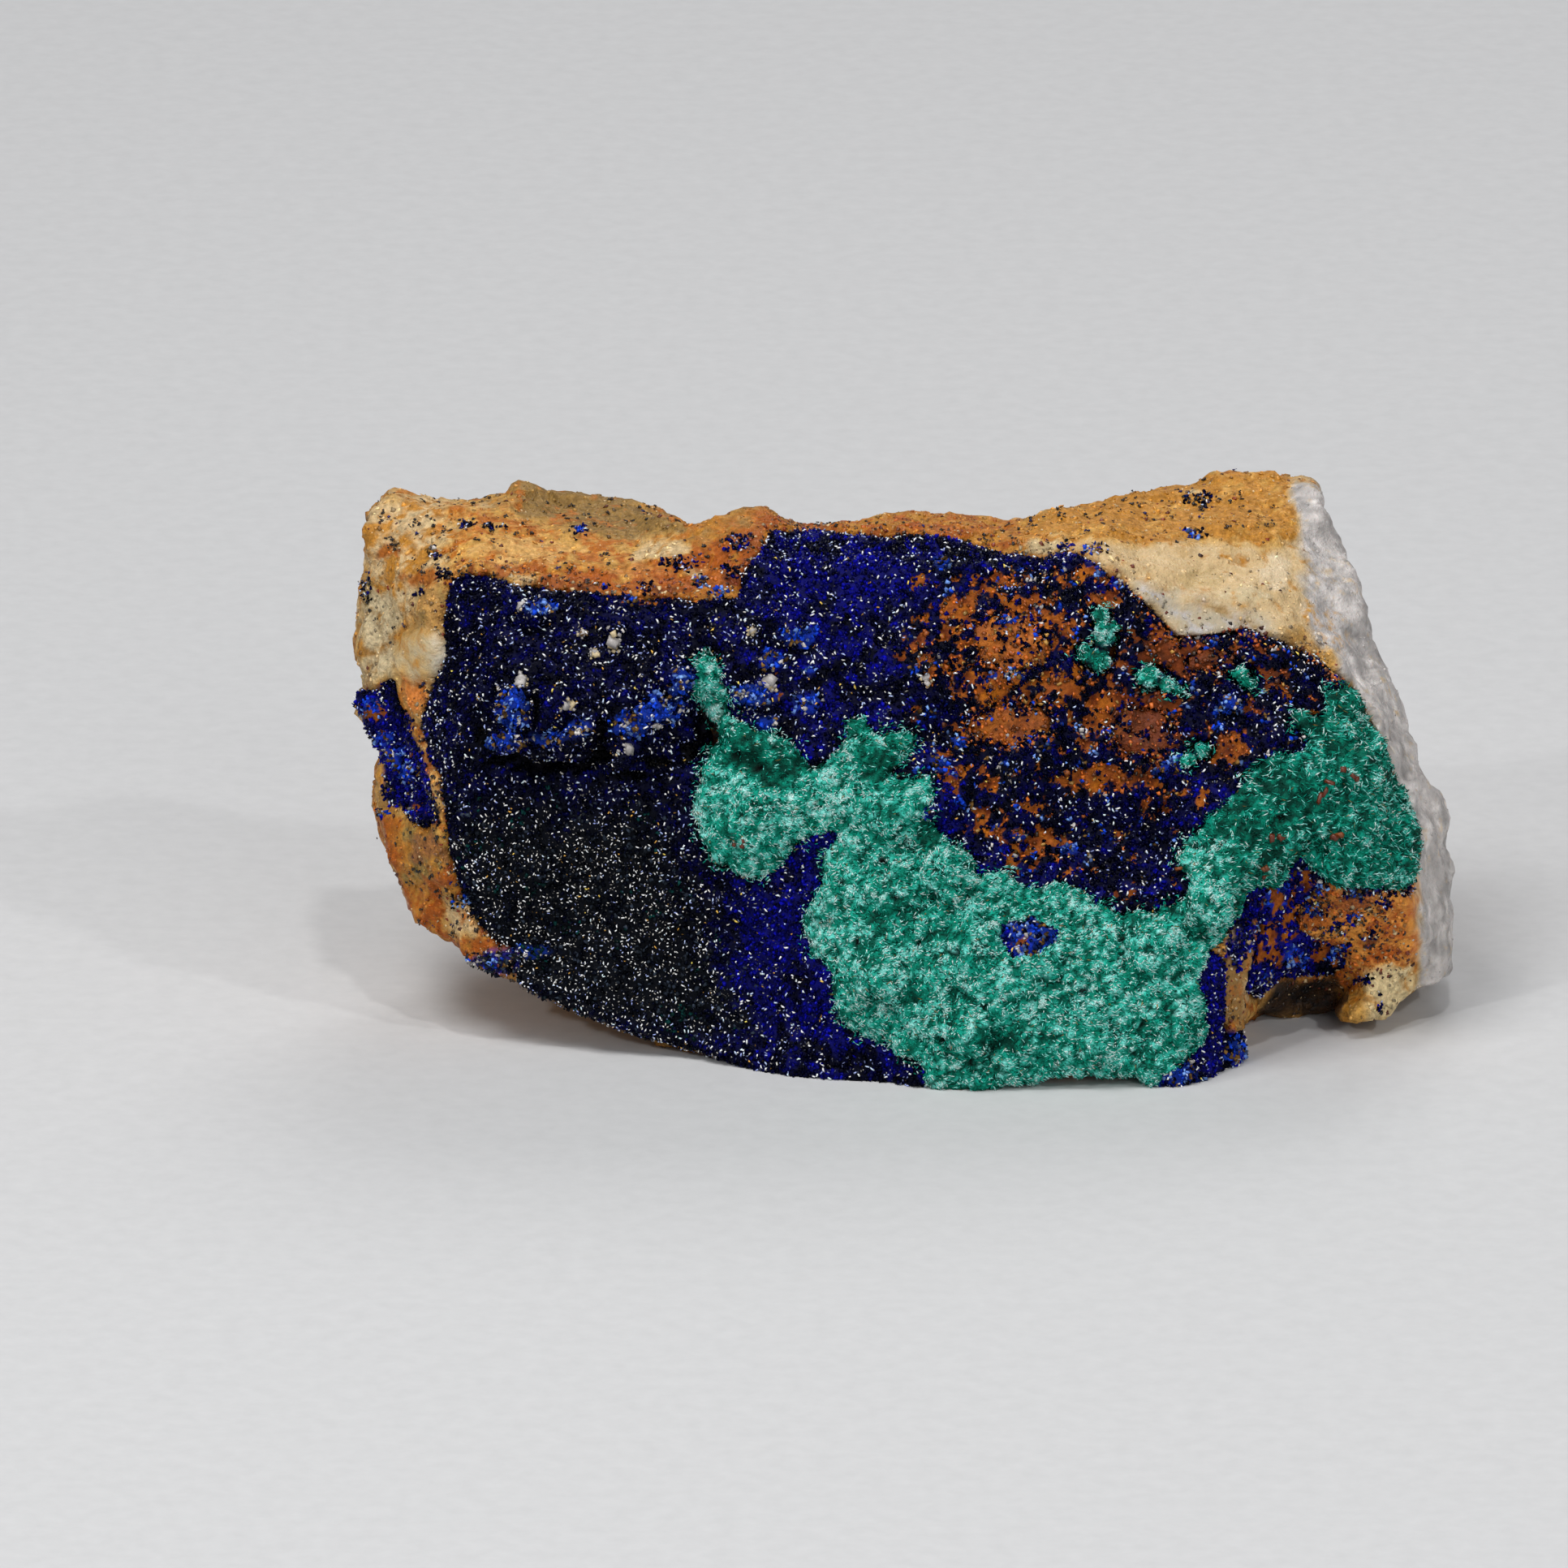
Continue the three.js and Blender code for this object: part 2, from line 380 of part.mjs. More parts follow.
// Crystals that stand out of the azurite and lumps that stand out of the malachite
let azuriteGrowth = block;
for (const [u, v, reach, count] of AZURITE_KNOBS) {
  for (let i = 0; i < count; i++) {
    const cu = u + draw(-reach, reach);
    const cv = v + draw(-reach, reach);
    azuriteGrowth = azuriteGrowth.add(crystal(draw(1.0, 1.8), pushed(cu, cv, front(cu, cv))));
  }
}
let malachiteGrowth = block;
for (let u = -14; u < 33; u += LUMP_SPACING) {
  for (let v = -20; v < 9; v += LUMP_SPACING) {
    const cu = u + draw(-1, 1);
    const cv = v + draw(-1, 1);
    if (!within([cu, cv], MALACHITE) || !within([cu, cv - 1], OUTLINE)) continue;
    const size = LUMP_SIZE * draw(0.7, 1.1);
    malachiteGrowth = malachiteGrowth.add(lump(size, pushed(cu, cv, front(cu, cv) - 0.3)));
  }
}
for (const outline of Object.values(TUFTS)) {
  for (const [u, v] of outline.filter((_, i) => i % 2 === 0)) {
    malachiteGrowth = malachiteGrowth.add(lump(0.75, pushed(u, v, front(u, v))));
  }
}

// Cutting the crusts free of the rock and of each other
const underCrust = upTo(frontBreaks, BED_CELL, CRUST);
const rockUnderCrust = upTo(frontBreaks, BED_CELL, CRUST + GAP);
const faceColumn = column(FACE);
const faceRoom = column(grown(FACE, GAP));
const tuftOutlines = Object.values(TUFTS);
let azurite = azuriteGrowth.intersect(faceColumn).subtract(column(grown(MALACHITE, GAP)));
for (const outline of [...tuftOutlines.map((o) => grown(o, GAP)), ...LIMONITE_WINDOWS]) {
  azurite = azurite.subtract(column(outline));
}
const malachite = malachiteGrowth
  .intersect(column(MALACHITE))
  .subtract(column(grown(AZURITE_WINDOW, GAP)));
let room = faceRoom.subtract(rockUnderCrust);
for (const outline of LIMONITE_WINDOWS) {
  room = room.subtract(column(grown(outline, -GAP)));
}
let matrix = block.subtract(room);
for (const outline of [SIDE_PATCH, RECESS_PATCH, FOOT_PATCH]) {
  matrix = matrix.subtract(column(grown(outline, GAP)).subtract(rockUnderCrust));
}

// Turning the specimen to the way it stands, with its lower edge broken flat
const standing = new THREE.Matrix4().makeRotationX(THREE.MathUtils.degToRad(90 - LEAN));
const chamfers = [
  { turn: ["y", 23], at: [-14, 0, BASE_LEVEL] },
  { turn: ["y", -12], at: [24, 0, BASE_LEVEL] },
  { turn: ["x", 30], at: [0, 18, BASE_LEVEL] },
];
const floor = new THREE.BoxGeometry(4 * FAR, 4 * FAR, FAR).translate(0, 0, -FAR / 2);
function stood(body) {
  const upright = geometryOf(body).applyMatrix4(standing);
  let result = solid(upright).subtract(solid(floor.clone().translate(0, 0, BASE_LEVEL)));
  for (const { turn, at } of chamfers) {
    const wedge = floor.clone();
    const angle = THREE.MathUtils.degToRad(turn[1]);
    if (turn[0] === "y") wedge.rotateY(angle);
    else wedge.rotateX(angle);
    result = result.subtract(solid(wedge.translate(...at)));
  }
  return geometryOf(result);
}

const pieces = {
  quartz_matrix: [matrix, 0xc9a071],
  azurite_druse: [azurite.subtract(underCrust), 0x14205c],
  malachite_crust: [malachite.subtract(underCrust), 0x2f9c78],
  azurite_window: [block.intersect(column(AZURITE_WINDOW)).subtract(underCrust), 0x14205c],
  azurite_side_patch: [block.intersect(column(SIDE_PATCH)).subtract(underCrust), 0x14205c],
  azurite_recess_patch: [
    block.intersect(column(RECESS_PATCH)).subtract(faceRoom).subtract(underCrust), 0x14205c,
  ],
  azurite_foot_patch: [
    block.intersect(column(FOOT_PATCH)).subtract(faceRoom).subtract(underCrust), 0x14205c,
  ],
};
for (const [name, outline] of Object.entries(TUFTS)) {
  pieces[name] = [malachiteGrowth.intersect(column(outline)).subtract(underCrust), 0x2f9c78];
}

const group = new THREE.Group();
group.name = "azurite_malachite_specimen";
for (const [name, [body, color]] of Object.entries(pieces)) {
  const material = new THREE.MeshStandardMaterial({ color, roughness: 0.8, flatShading: true });
  const mesh = new THREE.Mesh(stood(body), material);
  mesh.name = name;
  group.add(mesh);
}

// The middle of the base of its box becomes the origin
const box = new THREE.Box3().setFromObject(group, true);
for (const mesh of group.children) {
  mesh.geometry.translate(-(box.min.x + box.max.x) / 2, -(box.min.y + box.max.y) / 2, -box.min.z);
}

export default group;
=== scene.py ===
"""Azurite and malachite on iron-stained quartz: the looks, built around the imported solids.

Lengths are millimetres until a mesh is made. The crusted face has a frame of its own:
u to the right, v up the face, w out of the face, with the middle of the face at 0, 0, 0.
"""
import itertools
import math

import bpy
import numpy as np
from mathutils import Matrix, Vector
from mathutils.kdtree import KDTree


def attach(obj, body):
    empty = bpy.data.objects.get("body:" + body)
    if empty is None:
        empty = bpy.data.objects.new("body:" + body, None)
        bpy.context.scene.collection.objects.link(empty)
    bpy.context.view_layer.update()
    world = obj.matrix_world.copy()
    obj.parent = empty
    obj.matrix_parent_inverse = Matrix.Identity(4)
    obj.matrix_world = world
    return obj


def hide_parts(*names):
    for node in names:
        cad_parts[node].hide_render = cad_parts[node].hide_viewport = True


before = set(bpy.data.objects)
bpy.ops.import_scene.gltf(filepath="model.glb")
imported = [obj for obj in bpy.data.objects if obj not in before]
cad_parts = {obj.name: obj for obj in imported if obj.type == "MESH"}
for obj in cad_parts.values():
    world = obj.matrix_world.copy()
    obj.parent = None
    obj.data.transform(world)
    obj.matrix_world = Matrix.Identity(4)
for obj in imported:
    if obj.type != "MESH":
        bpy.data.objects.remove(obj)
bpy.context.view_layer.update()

# Driving values
MM = 0.001
LEAN = math.radians(18)  # how far the face leans back, and how far the camera looks down
FACE_MIDDLE = np.array([-0.045, -9.794, 18.0])  # middle of the face, from the object's origin
PICTURE_WIDTH = 99.59  # width of the picture at the specimen
PICTURE_MIDDLE = (-7.68, -0.05, -8.0)  # point of the face frame at the middle of the picture
CAMERA_DISTANCE = 1200
SENSOR = 36
FLOOR_REACH = 8000.0
LIGHTS_AIM = (0, 0, 15)
STONE_VOXEL = 0.36  # how fine each mesh is
DRUSE_VOXEL = 0.29
PATCH_VOXEL = 0.36
FELT_VOXEL = 0.3
TUFT_VOXEL = 0.22
STONE_SWELL = 0.1  # how far each mesh stands out from the solid
AZURITE_SWELL = 0.18
FELT_SWELL = 0.2
TUFT_SWELL = 0.15

FACE_U = np.array([1.0, 0.0, 0.0])
FACE_V = np.array([0.0, math.sin(LEAN), math.cos(LEAN)])
FACE_W = np.array([0.0, -math.cos(LEAN), math.sin(LEAN)])
FACE_AXES = np.stack([FACE_U, FACE_V, FACE_W], 1)
FLAT = np.array([1.0, 1.0, 0.3])  # patterns change slowly with depth

random = np.random.default_rng(11)


def to_face(points):
    """Object frame to face frame: columns u, v, w."""
    return (points - FACE_MIDDLE) @ FACE_AXES


def from_face(points):
    """Face frame to object frame."""
    return np.asarray(points, float) @ FACE_AXES.T + FACE_MIDDLE


# Noise

CORNERS = np.array(list(itertools.product((0, 1), repeat=3)))
NEIGHBOURS = np.array(list(itertools.product((-1, 0, 1), repeat=3)))
SKEW = np.linalg.qr(np.array([[1.0, 0.4, -0.3], [-0.2, 1.0, 0.5], [0.6, -0.3, 1.0]]))[0]


def hashed(cell, seed):
    """A repeatable number from 0 to 1 for each cell of a lattice."""
    h = cell[..., 0].astype(np.uint32) * np.uint32(0x8DA6B343)
    h ^= cell[..., 1].astype(np.uint32) * np.uint32(0xD8163841)
    h ^= cell[..., 2].astype(np.uint32) * np.uint32(0xCB1AB31F)
    h ^= np.uint32((seed * 0x9E3779B1) & 0xFFFFFFFF)
    h ^= h >> np.uint32(15)
    h *= np.uint32(0x2C1B3C6D)
    h ^= h >> np.uint32(12)
    h *= np.uint32(0x297A2D39)
    h ^= h >> np.uint32(15)
    return h.astype(float) / 4294967296.0


def hashes(cell, seed):
    """Three such numbers for each cell."""
    return np.stack([hashed(cell, seed + k) for k in range(3)], 1)


def noise(points, size, seed):
    """Smooth noise from about -1 to 1, with features of the given size."""
    q = points @ SKEW / size
    base = np.floor(q).astype(np.int64)
    t = q - base
    s = t * t * t * (t * (t * 6 - 15) + 10)
    total = np.zeros(len(points))
    for corner in CORNERS:
        weight = np.prod(np.where(corner == 1, s, 1 - s), 1)
        total += weight * ((t - corner) * (hashes(base + corner, seed) - 0.5)).sum(1)
    return total * 2.8


def rough(points, size, seed, octaves=3, gain=0.5):
    """Several sizes of noise added, each half as large and weaker."""
    total = np.zeros(len(points))
    share = 1.0
    for k in range(octaves):
        total += share * noise(points + 31.7 * k, size, seed + 7 * k)
        size *= 0.5
        share *= gain
    return total


def facets(points, size, seed):
    """Heights from -1 to 1 on a bent lattice, joined by flat facets with sharp creases."""
    bent = points + 0.35 * size * np.stack([noise(points, 1.6 * size, seed + k) for k in range(3)], 1)
    q = bent @ SKEW / size
    base = np.floor(q).astype(np.int64)
    t = q - base
    order = np.argsort(-t, axis=1)
    ranked = np.take_along_axis(t, order, 1)
    total = hashed(base, seed) * (1 - ranked[:, 0])
    cell = base.copy()
    for k in range(3):
        cell = cell + np.eye(3, dtype=np.int64)[order[:, k]]
        following = ranked[:, k + 1] if k < 2 else 0
        total += hashed(cell, seed) * (ranked[:, k] - following)
    return total * 2 - 1


def clusters(points, size, seed):
    """Rounded grains of about the given size: nearness to the middle of one, and its own number."""
    q = points / size
    base = np.floor(q).astype(np.int64)
    nearest = np.full(len(points), 9.0)
    number = np.zeros(len(points))
    for step in NEIGHBOURS:
        cell = base + step
        away = ((q - (cell + hashes(cell, seed))) ** 2).sum(1)
        number = np.where(away < nearest, hashed(cell, seed + 5), number)
        nearest = np.minimum(nearest, away)
    return 1 - np.minimum(nearest, 1), number


def smooth(low, high, values):
    """0 below low, 1 above high, and an even rise between."""
    t = np.clip((values - low) / (high - low), 0, 1)
    return t * t * (3 - 2 * t)


def mixed(a, b, share):
    """Two colours, or rows of colours, mixed by share."""
    share = np.atleast_1d(share)[:, None]
    return np.asarray(a, float) * (1 - share) + np.asarray(b, float) * share


def ramp(levels, places, colours):
    """Colours along a ramp, one for each level."""
    table = np.array(colours, float)
    return np.stack([np.interp(levels, places, table[:, k]) for k in range(3)], 1)


def rows(colour, count):
    """The same colour for each of count points."""
    return np.tile(np.array(colour, float), (count, 1))


def inside(face, outline):
    """How far each point lies inside an outline of u, v points, negative outside."""
    point = face[:, :2]
    nearest = np.full(len(face), 1e9)
    within = np.zeros(len(face), bool)
    for a, b in zip(outline, outline[1:] + outline[:1]):
        a = np.array(a, float)
        b = np.array(b, float)
        along = np.clip(((point - a) @ (b - a)) / ((b - a) @ (b - a)), 0, 1)
        nearest = np.minimum(nearest, np.linalg.norm(point - a - along[:, None] * (b - a), axis=1))
        crosses = (a[1] > point[:, 1]) != (b[1] > point[:, 1])
        if a[1] != b[1]:
            at = a[0] + (point[:, 1] - a[1]) / (b[1] - a[1]) * (b[0] - a[0])
            within ^= crosses & (point[:, 0] < at)
    return np.where(within, nearest, -nearest)


def patch(face, outline, soft=0.8, ragged=0.6, seed=3):
    """Share of an outline at each point, with a soft ragged edge."""
    edge = inside(face, outline) + ragged * rough(face, 1.9, seed, 4, 0.6)
    return smooth(-soft / 2, soft / 2, edge)


def spot(face, u, v, across, up=None, ragged=0.35, seed=5):
    """Share of an oval spot at each point, with a ragged edge."""
    share = np.zeros(len(face))
    up = up or across
    near = np.flatnonzero((np.abs(face[:, 0] - u) < 2 * across) & (np.abs(face[:, 1] - v) < 2 * up))
    place = face[near]
    away = np.hypot((place[:, 0] - u) / across, (place[:, 1] - v) / up)
    wave = noise(place, 0.7, seed) + noise(place, 0.5 + 0.6 * min(across, up), seed + 1)
    share[near] = smooth(1.25, 0.7, away + 0.7 * ragged * wave)
    return share


def spots(face, places, ragged, seed, weigh=None):
    """Largest share of many spots: u, v, across, up, and a value that weigh turns into an amount."""
    share = np.zeros(len(face))
    for u, v, across, up, *value in places:
        one = spot(face, u, v, across, up, ragged, seed)
        share = np.maximum(share, weigh(*value) * one if weigh else one)
    return share


def light(colour):
    """Colours given as they look, 0 to 255, to the linear values that a shader takes."""
    c = np.asarray(colour, float) / 255
    return np.where(c <= 0.04045, c / 12.92, ((c + 0.055) / 1.055) ** 2.4)


# Meshes

def points_of(mesh):
    co = np.empty(len(mesh.vertices) * 3, np.float32)
    mesh.vertices.foreach_get("co", co)
    return co.reshape(-1, 3).astype(float) / MM


def normals_of(mesh):
    n = np.empty(len(mesh.vertices) * 3, np.float32)
    mesh.vertex_normals.foreach_get("vector", n)
    return n.reshape(-1, 3).astype(float)


def set_points(mesh, points):
    mesh.vertices.foreach_set("co", (points * MM).astype(np.float32).ravel())
    mesh.update()


def colour(mesh, name, values):
    """Stores a looked colour, or a number, for each vertex."""
    if np.ndim(values) == 1:
        layer = mesh.attributes.new(name, "FLOAT", "POINT")
        layer.data.foreach_set("value", values.astype(np.float32))
        return
    rgba = np.ones((len(values), 4), np.float32)
    rgba[:, :3] = light(values)
    layer = mesh.attributes.new(name, "FLOAT_COLOR", "POINT")
    layer.data.foreach_set("color", rgba.ravel())


def paint(mesh, *layers):
    """Stores tone, stain, cover and polish for each vertex, as many of them as are given."""
    for name, values in zip(("tone", "stain", "cover", "polish"), layers):
        colour(mesh, name, values)


def placed(name, data):
    """A new object in the scene."""
    obj = bpy.data.objects.new(name, data)
    bpy.context.scene.collection.objects.link(obj)
    return obj


def show(obj, material, slot, *nodes):
    """Puts a finished piece in the scene, riding on the stone."""
    obj.data.materials.clear()
    obj.data.materials.append(material)
    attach(obj, "root")
    if nodes:
        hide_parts(*nodes)
    return obj


def twin(node, name, voxel, swell):
    """A fine closed copy of a CAD node's surface, pushed out by swell."""
    obj = placed(name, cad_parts[node].data.copy())
    remesh = obj.modifiers.new("remesh", "REMESH")
    remesh.mode = "VOXEL"
    remesh.voxel_size = voxel * MM
    graph = bpy.context.evaluated_depsgraph_get()
    fine = bpy.data.meshes.new_from_object(obj.evaluated_get(graph))
    obj.modifiers.clear()
    obj.data = fine
    fine.name = name
    fine.polygons.foreach_set("use_smooth", np.ones(len(fine.polygons), bool))
    push(fine, np.full(len(fine.vertices), swell))
    return obj


def push(mesh, height):
    """Moves each vertex out along its normal, and none below the ground."""
    points = points_of(mesh) + normals_of(mesh) * height[:, None]
    points[:, 2] = np.maximum(points[:, 2], 0)
    set_points(mesh, points)


def mesh_from(name, points, faces):
    """A mesh object of triangles from arrays."""
    mesh = bpy.data.meshes.new(name)
    mesh.vertices.add(len(points))
    mesh.vertices.foreach_set("co", (points * MM).astype(np.float32).ravel())
    mesh.loops.add(faces.size)
    mesh.loops.foreach_set("vertex_index", faces.astype(np.int32).ravel())
    mesh.polygons.add(len(faces))
    mesh.polygons.foreach_set("loop_start", np.arange(0, faces.size, 3, dtype=np.int32))
    mesh.update(calc_edges=True)
    return placed(name, mesh)


# Small solids, as corners and triangles: x across, y along, z up from the surface.
ROOF = (
    [(-1, -1, 0), (1, -1, 0), (1, 1, 0), (-1, 1, 0), (-0.5, 0.1, 1), (0.55, -0.1, 0.9)],
    [(0, 2, 1), (0, 3, 2), (0, 1, 5), (0, 5, 4), (1, 2, 5), (2, 3, 4), (2, 4, 5), (3, 0, 4)],
)
SPLINTER = (
    [(-1, 0, 0), (1, 0, 0), (0.15, -0.7, 1), (-0.15, 0.7, 0.95)],
    [(0, 1, 2), (0, 3, 1), (0, 2, 3), (1, 3, 2)],
)
GRAIN = (
    [(-1, -0.9, -0.5), (1, -0.8, -0.5), (0.9, 1, -0.5), (-0.8, 0.9, -0.5), (-0.7, -0.8, 0.8),
     (0.8, -0.6, 1.0), (0.6, 0.7, 0.7), (-0.5, 0.8, 0.9)],
    [(0, 2, 1), (0, 3, 2), (4, 5, 6), (4, 6, 7), (0, 1, 5), (0, 5, 4), (1, 2, 6), (1, 6, 5),
     (2, 3, 7), (2, 7, 6), (3, 0, 4), (3, 4, 7)],
)


def unit(vectors):
    return vectors / np.linalg.norm(vectors, axis=1)[:, None]


def joined(name, solid, centres, axes, sizes, tones, material, slot):
    """A piece of many copies of a small solid, each with its own axis, size and colour."""
    corners = np.array(solid[0], float)
    faces = np.array(solid[1])
    across = unit(np.cross(axes, random.normal(size=axes.shape)))
    sides = (across, np.cross(axes, across), axes)
    points = centres[:, None, :] + sum(
        corners[None, :, k, None] * sizes[:, None, k, None] * side[:, None, :]
        for k, side in enumerate(sides)
    )
    points = points.reshape(-1, 3)
    points[:, 2] = np.maximum(points[:, 2], 0.01)
    starts = np.arange(len(centres))[:, None, None] * len(corners)
    obj = mesh_from(name, points, (faces[None] + starts).reshape(-1, 3))
    colour(obj.data, "tone", np.repeat(tones, len(corners), axis=0))
    show(obj, material, slot)


def halves(name, face, solid, centres, axes, sizes, tones, material, slot):
    """The same as two pieces, the left and the right half of the places."""
    left = face[:, 0] < np.median(face[:, 0])
    for side, chosen in (("left", left), ("right", ~left)):
        joined(f"{name}_{side}", solid, centres[chosen], axes[chosen], sizes[chosen], tones[chosen],
               material, slot)


def scatter(obj, density):
    """Places on a surface: points, normals. density(face, normals) is a number for each mm2."""
    mesh = obj.data
    mesh.calc_loop_triangles()
    index = np.empty(len(mesh.loop_triangles) * 3, np.int32)
    mesh.loop_triangles.foreach_get("vertices", index)
    corners = points_of(mesh)[index.reshape(-1, 3)]
    cross = np.cross(corners[:, 1] - corners[:, 0], corners[:, 2] - corners[:, 0])
    doubled = np.linalg.norm(cross, axis=1) + 1e-12
    normals = cross / doubled[:, None]
    middle = corners.mean(1)
    expected = doubled / 2 * density(to_face(middle), normals)
    count = np.floor(expected + random.random(len(expected))).astype(int)
    chosen = np.repeat(np.arange(len(count)), count)
    r = np.sqrt(random.random(len(chosen)))[:, None]
    s = random.random(len(chosen))[:, None]
    a, b, c = (corners[chosen, k] for k in range(3))
    return (1 - r) * a + r * (1 - s) * b + r * s * c, normals[chosen]


def gathered(found):
    """Points and normals from several surfaces as one."""
    return [np.concatenate(parts) for parts in zip(*found)]


def leaning(normals, spread):
    """Directions spread at random about the normals."""
    return unit(normals + spread * random.normal(size=normals.shape))


def chip_sizes(n, low, high, uneven, flat=1.0):
    """Sizes of n chips along their three sides, each chip of its own shape."""
    return random.uniform(low, high, n)[:, None] * random.uniform(0.6, uneven, (n, 3)) * (1, 1, flat)


def painted(tone, chosen, new, low=0.6, high=1.2):
    """Gives the chosen chips or crystals a new colour, each a little lighter or darker."""
    share = random.uniform(low, high, len(tone))[:, None]
    return np.where(chosen[:, None], np.array(new) * share, tone)


def facing(normals):
    """Share of what faces the viewer of the crusted face."""
    return smooth(-0.35, 0.0, normals @ FACE_W)


# Colours as they look, 0 to 255
CREAM = (212, 182, 134)
PALE = (206, 186, 146)
GOLD = (190, 130, 46)
ORANGE = (186, 106, 24)
DEEP_ORANGE = (166, 84, 14)
RUST = (154, 80, 32)
RED_BROWN = (98, 40, 16)
TAN = (156, 116, 60)
OLIVE = (150, 124, 66)
GREY_QUARTZ = (190, 184, 180)
AMBER = (198, 156, 92)
# painted highlight on the right rim of the nodule
RIM_HIGHLIGHT = (216, 210, 198)
CAVE = (62, 42, 24)
BLACK = (20, 17, 17)
GREEN = (0, 122, 98)
# near white end of the malachite colours: painted sheen on the lightest laths
SHEEN_GREEN = (226, 252, 246)
DULL_GREY = (46, 54, 66)
DULL_GREEN = (14, 56, 54)
HONEY = (210, 158, 76)
# bluish colour of the painted glints on the azurite crystals
ICE = (176, 190, 255)
NAVY = (1, 2, 22)
DULL_NAVY = (5, 8, 16)
DEEP_BLUE = (10, 12, 126)
ROYAL = (26, 74, 218)
SKY = (120, 160, 240)
# near white colour of the painted glints on the azurite crystals
GLINT_WHITE = (255, 250, 240)
MINT = (146, 246, 234)
TEAL = (16, 172, 146)
DARK_GREEN = (0, 58, 46)
MALACHITE_STEPS = [0.0, 0.25, 0.5, 0.75, 1.0]
MALACHITE_COLOURS = [DARK_GREEN, GREEN, TEAL, MINT, SHEEN_GREEN]

# Colours of the brightest crystals: from and to which number, the colour, its darkest and lightest
LIT_TONES = [
    (-1, 0.4, ROYAL, 0.3, 1.15), (0.4, 0.6, SKY, 0.5, 1.2), (0.68, 0.84, TAN, 0.3, 1.0),
    (0.88, 2, GREY_QUARTZ, 0.6, 1.25),
]
CRYSTALS = 20  # for each mm2 of crust
CLUMP_CRYSTALS = 24
FRINGE_LATHS = 45

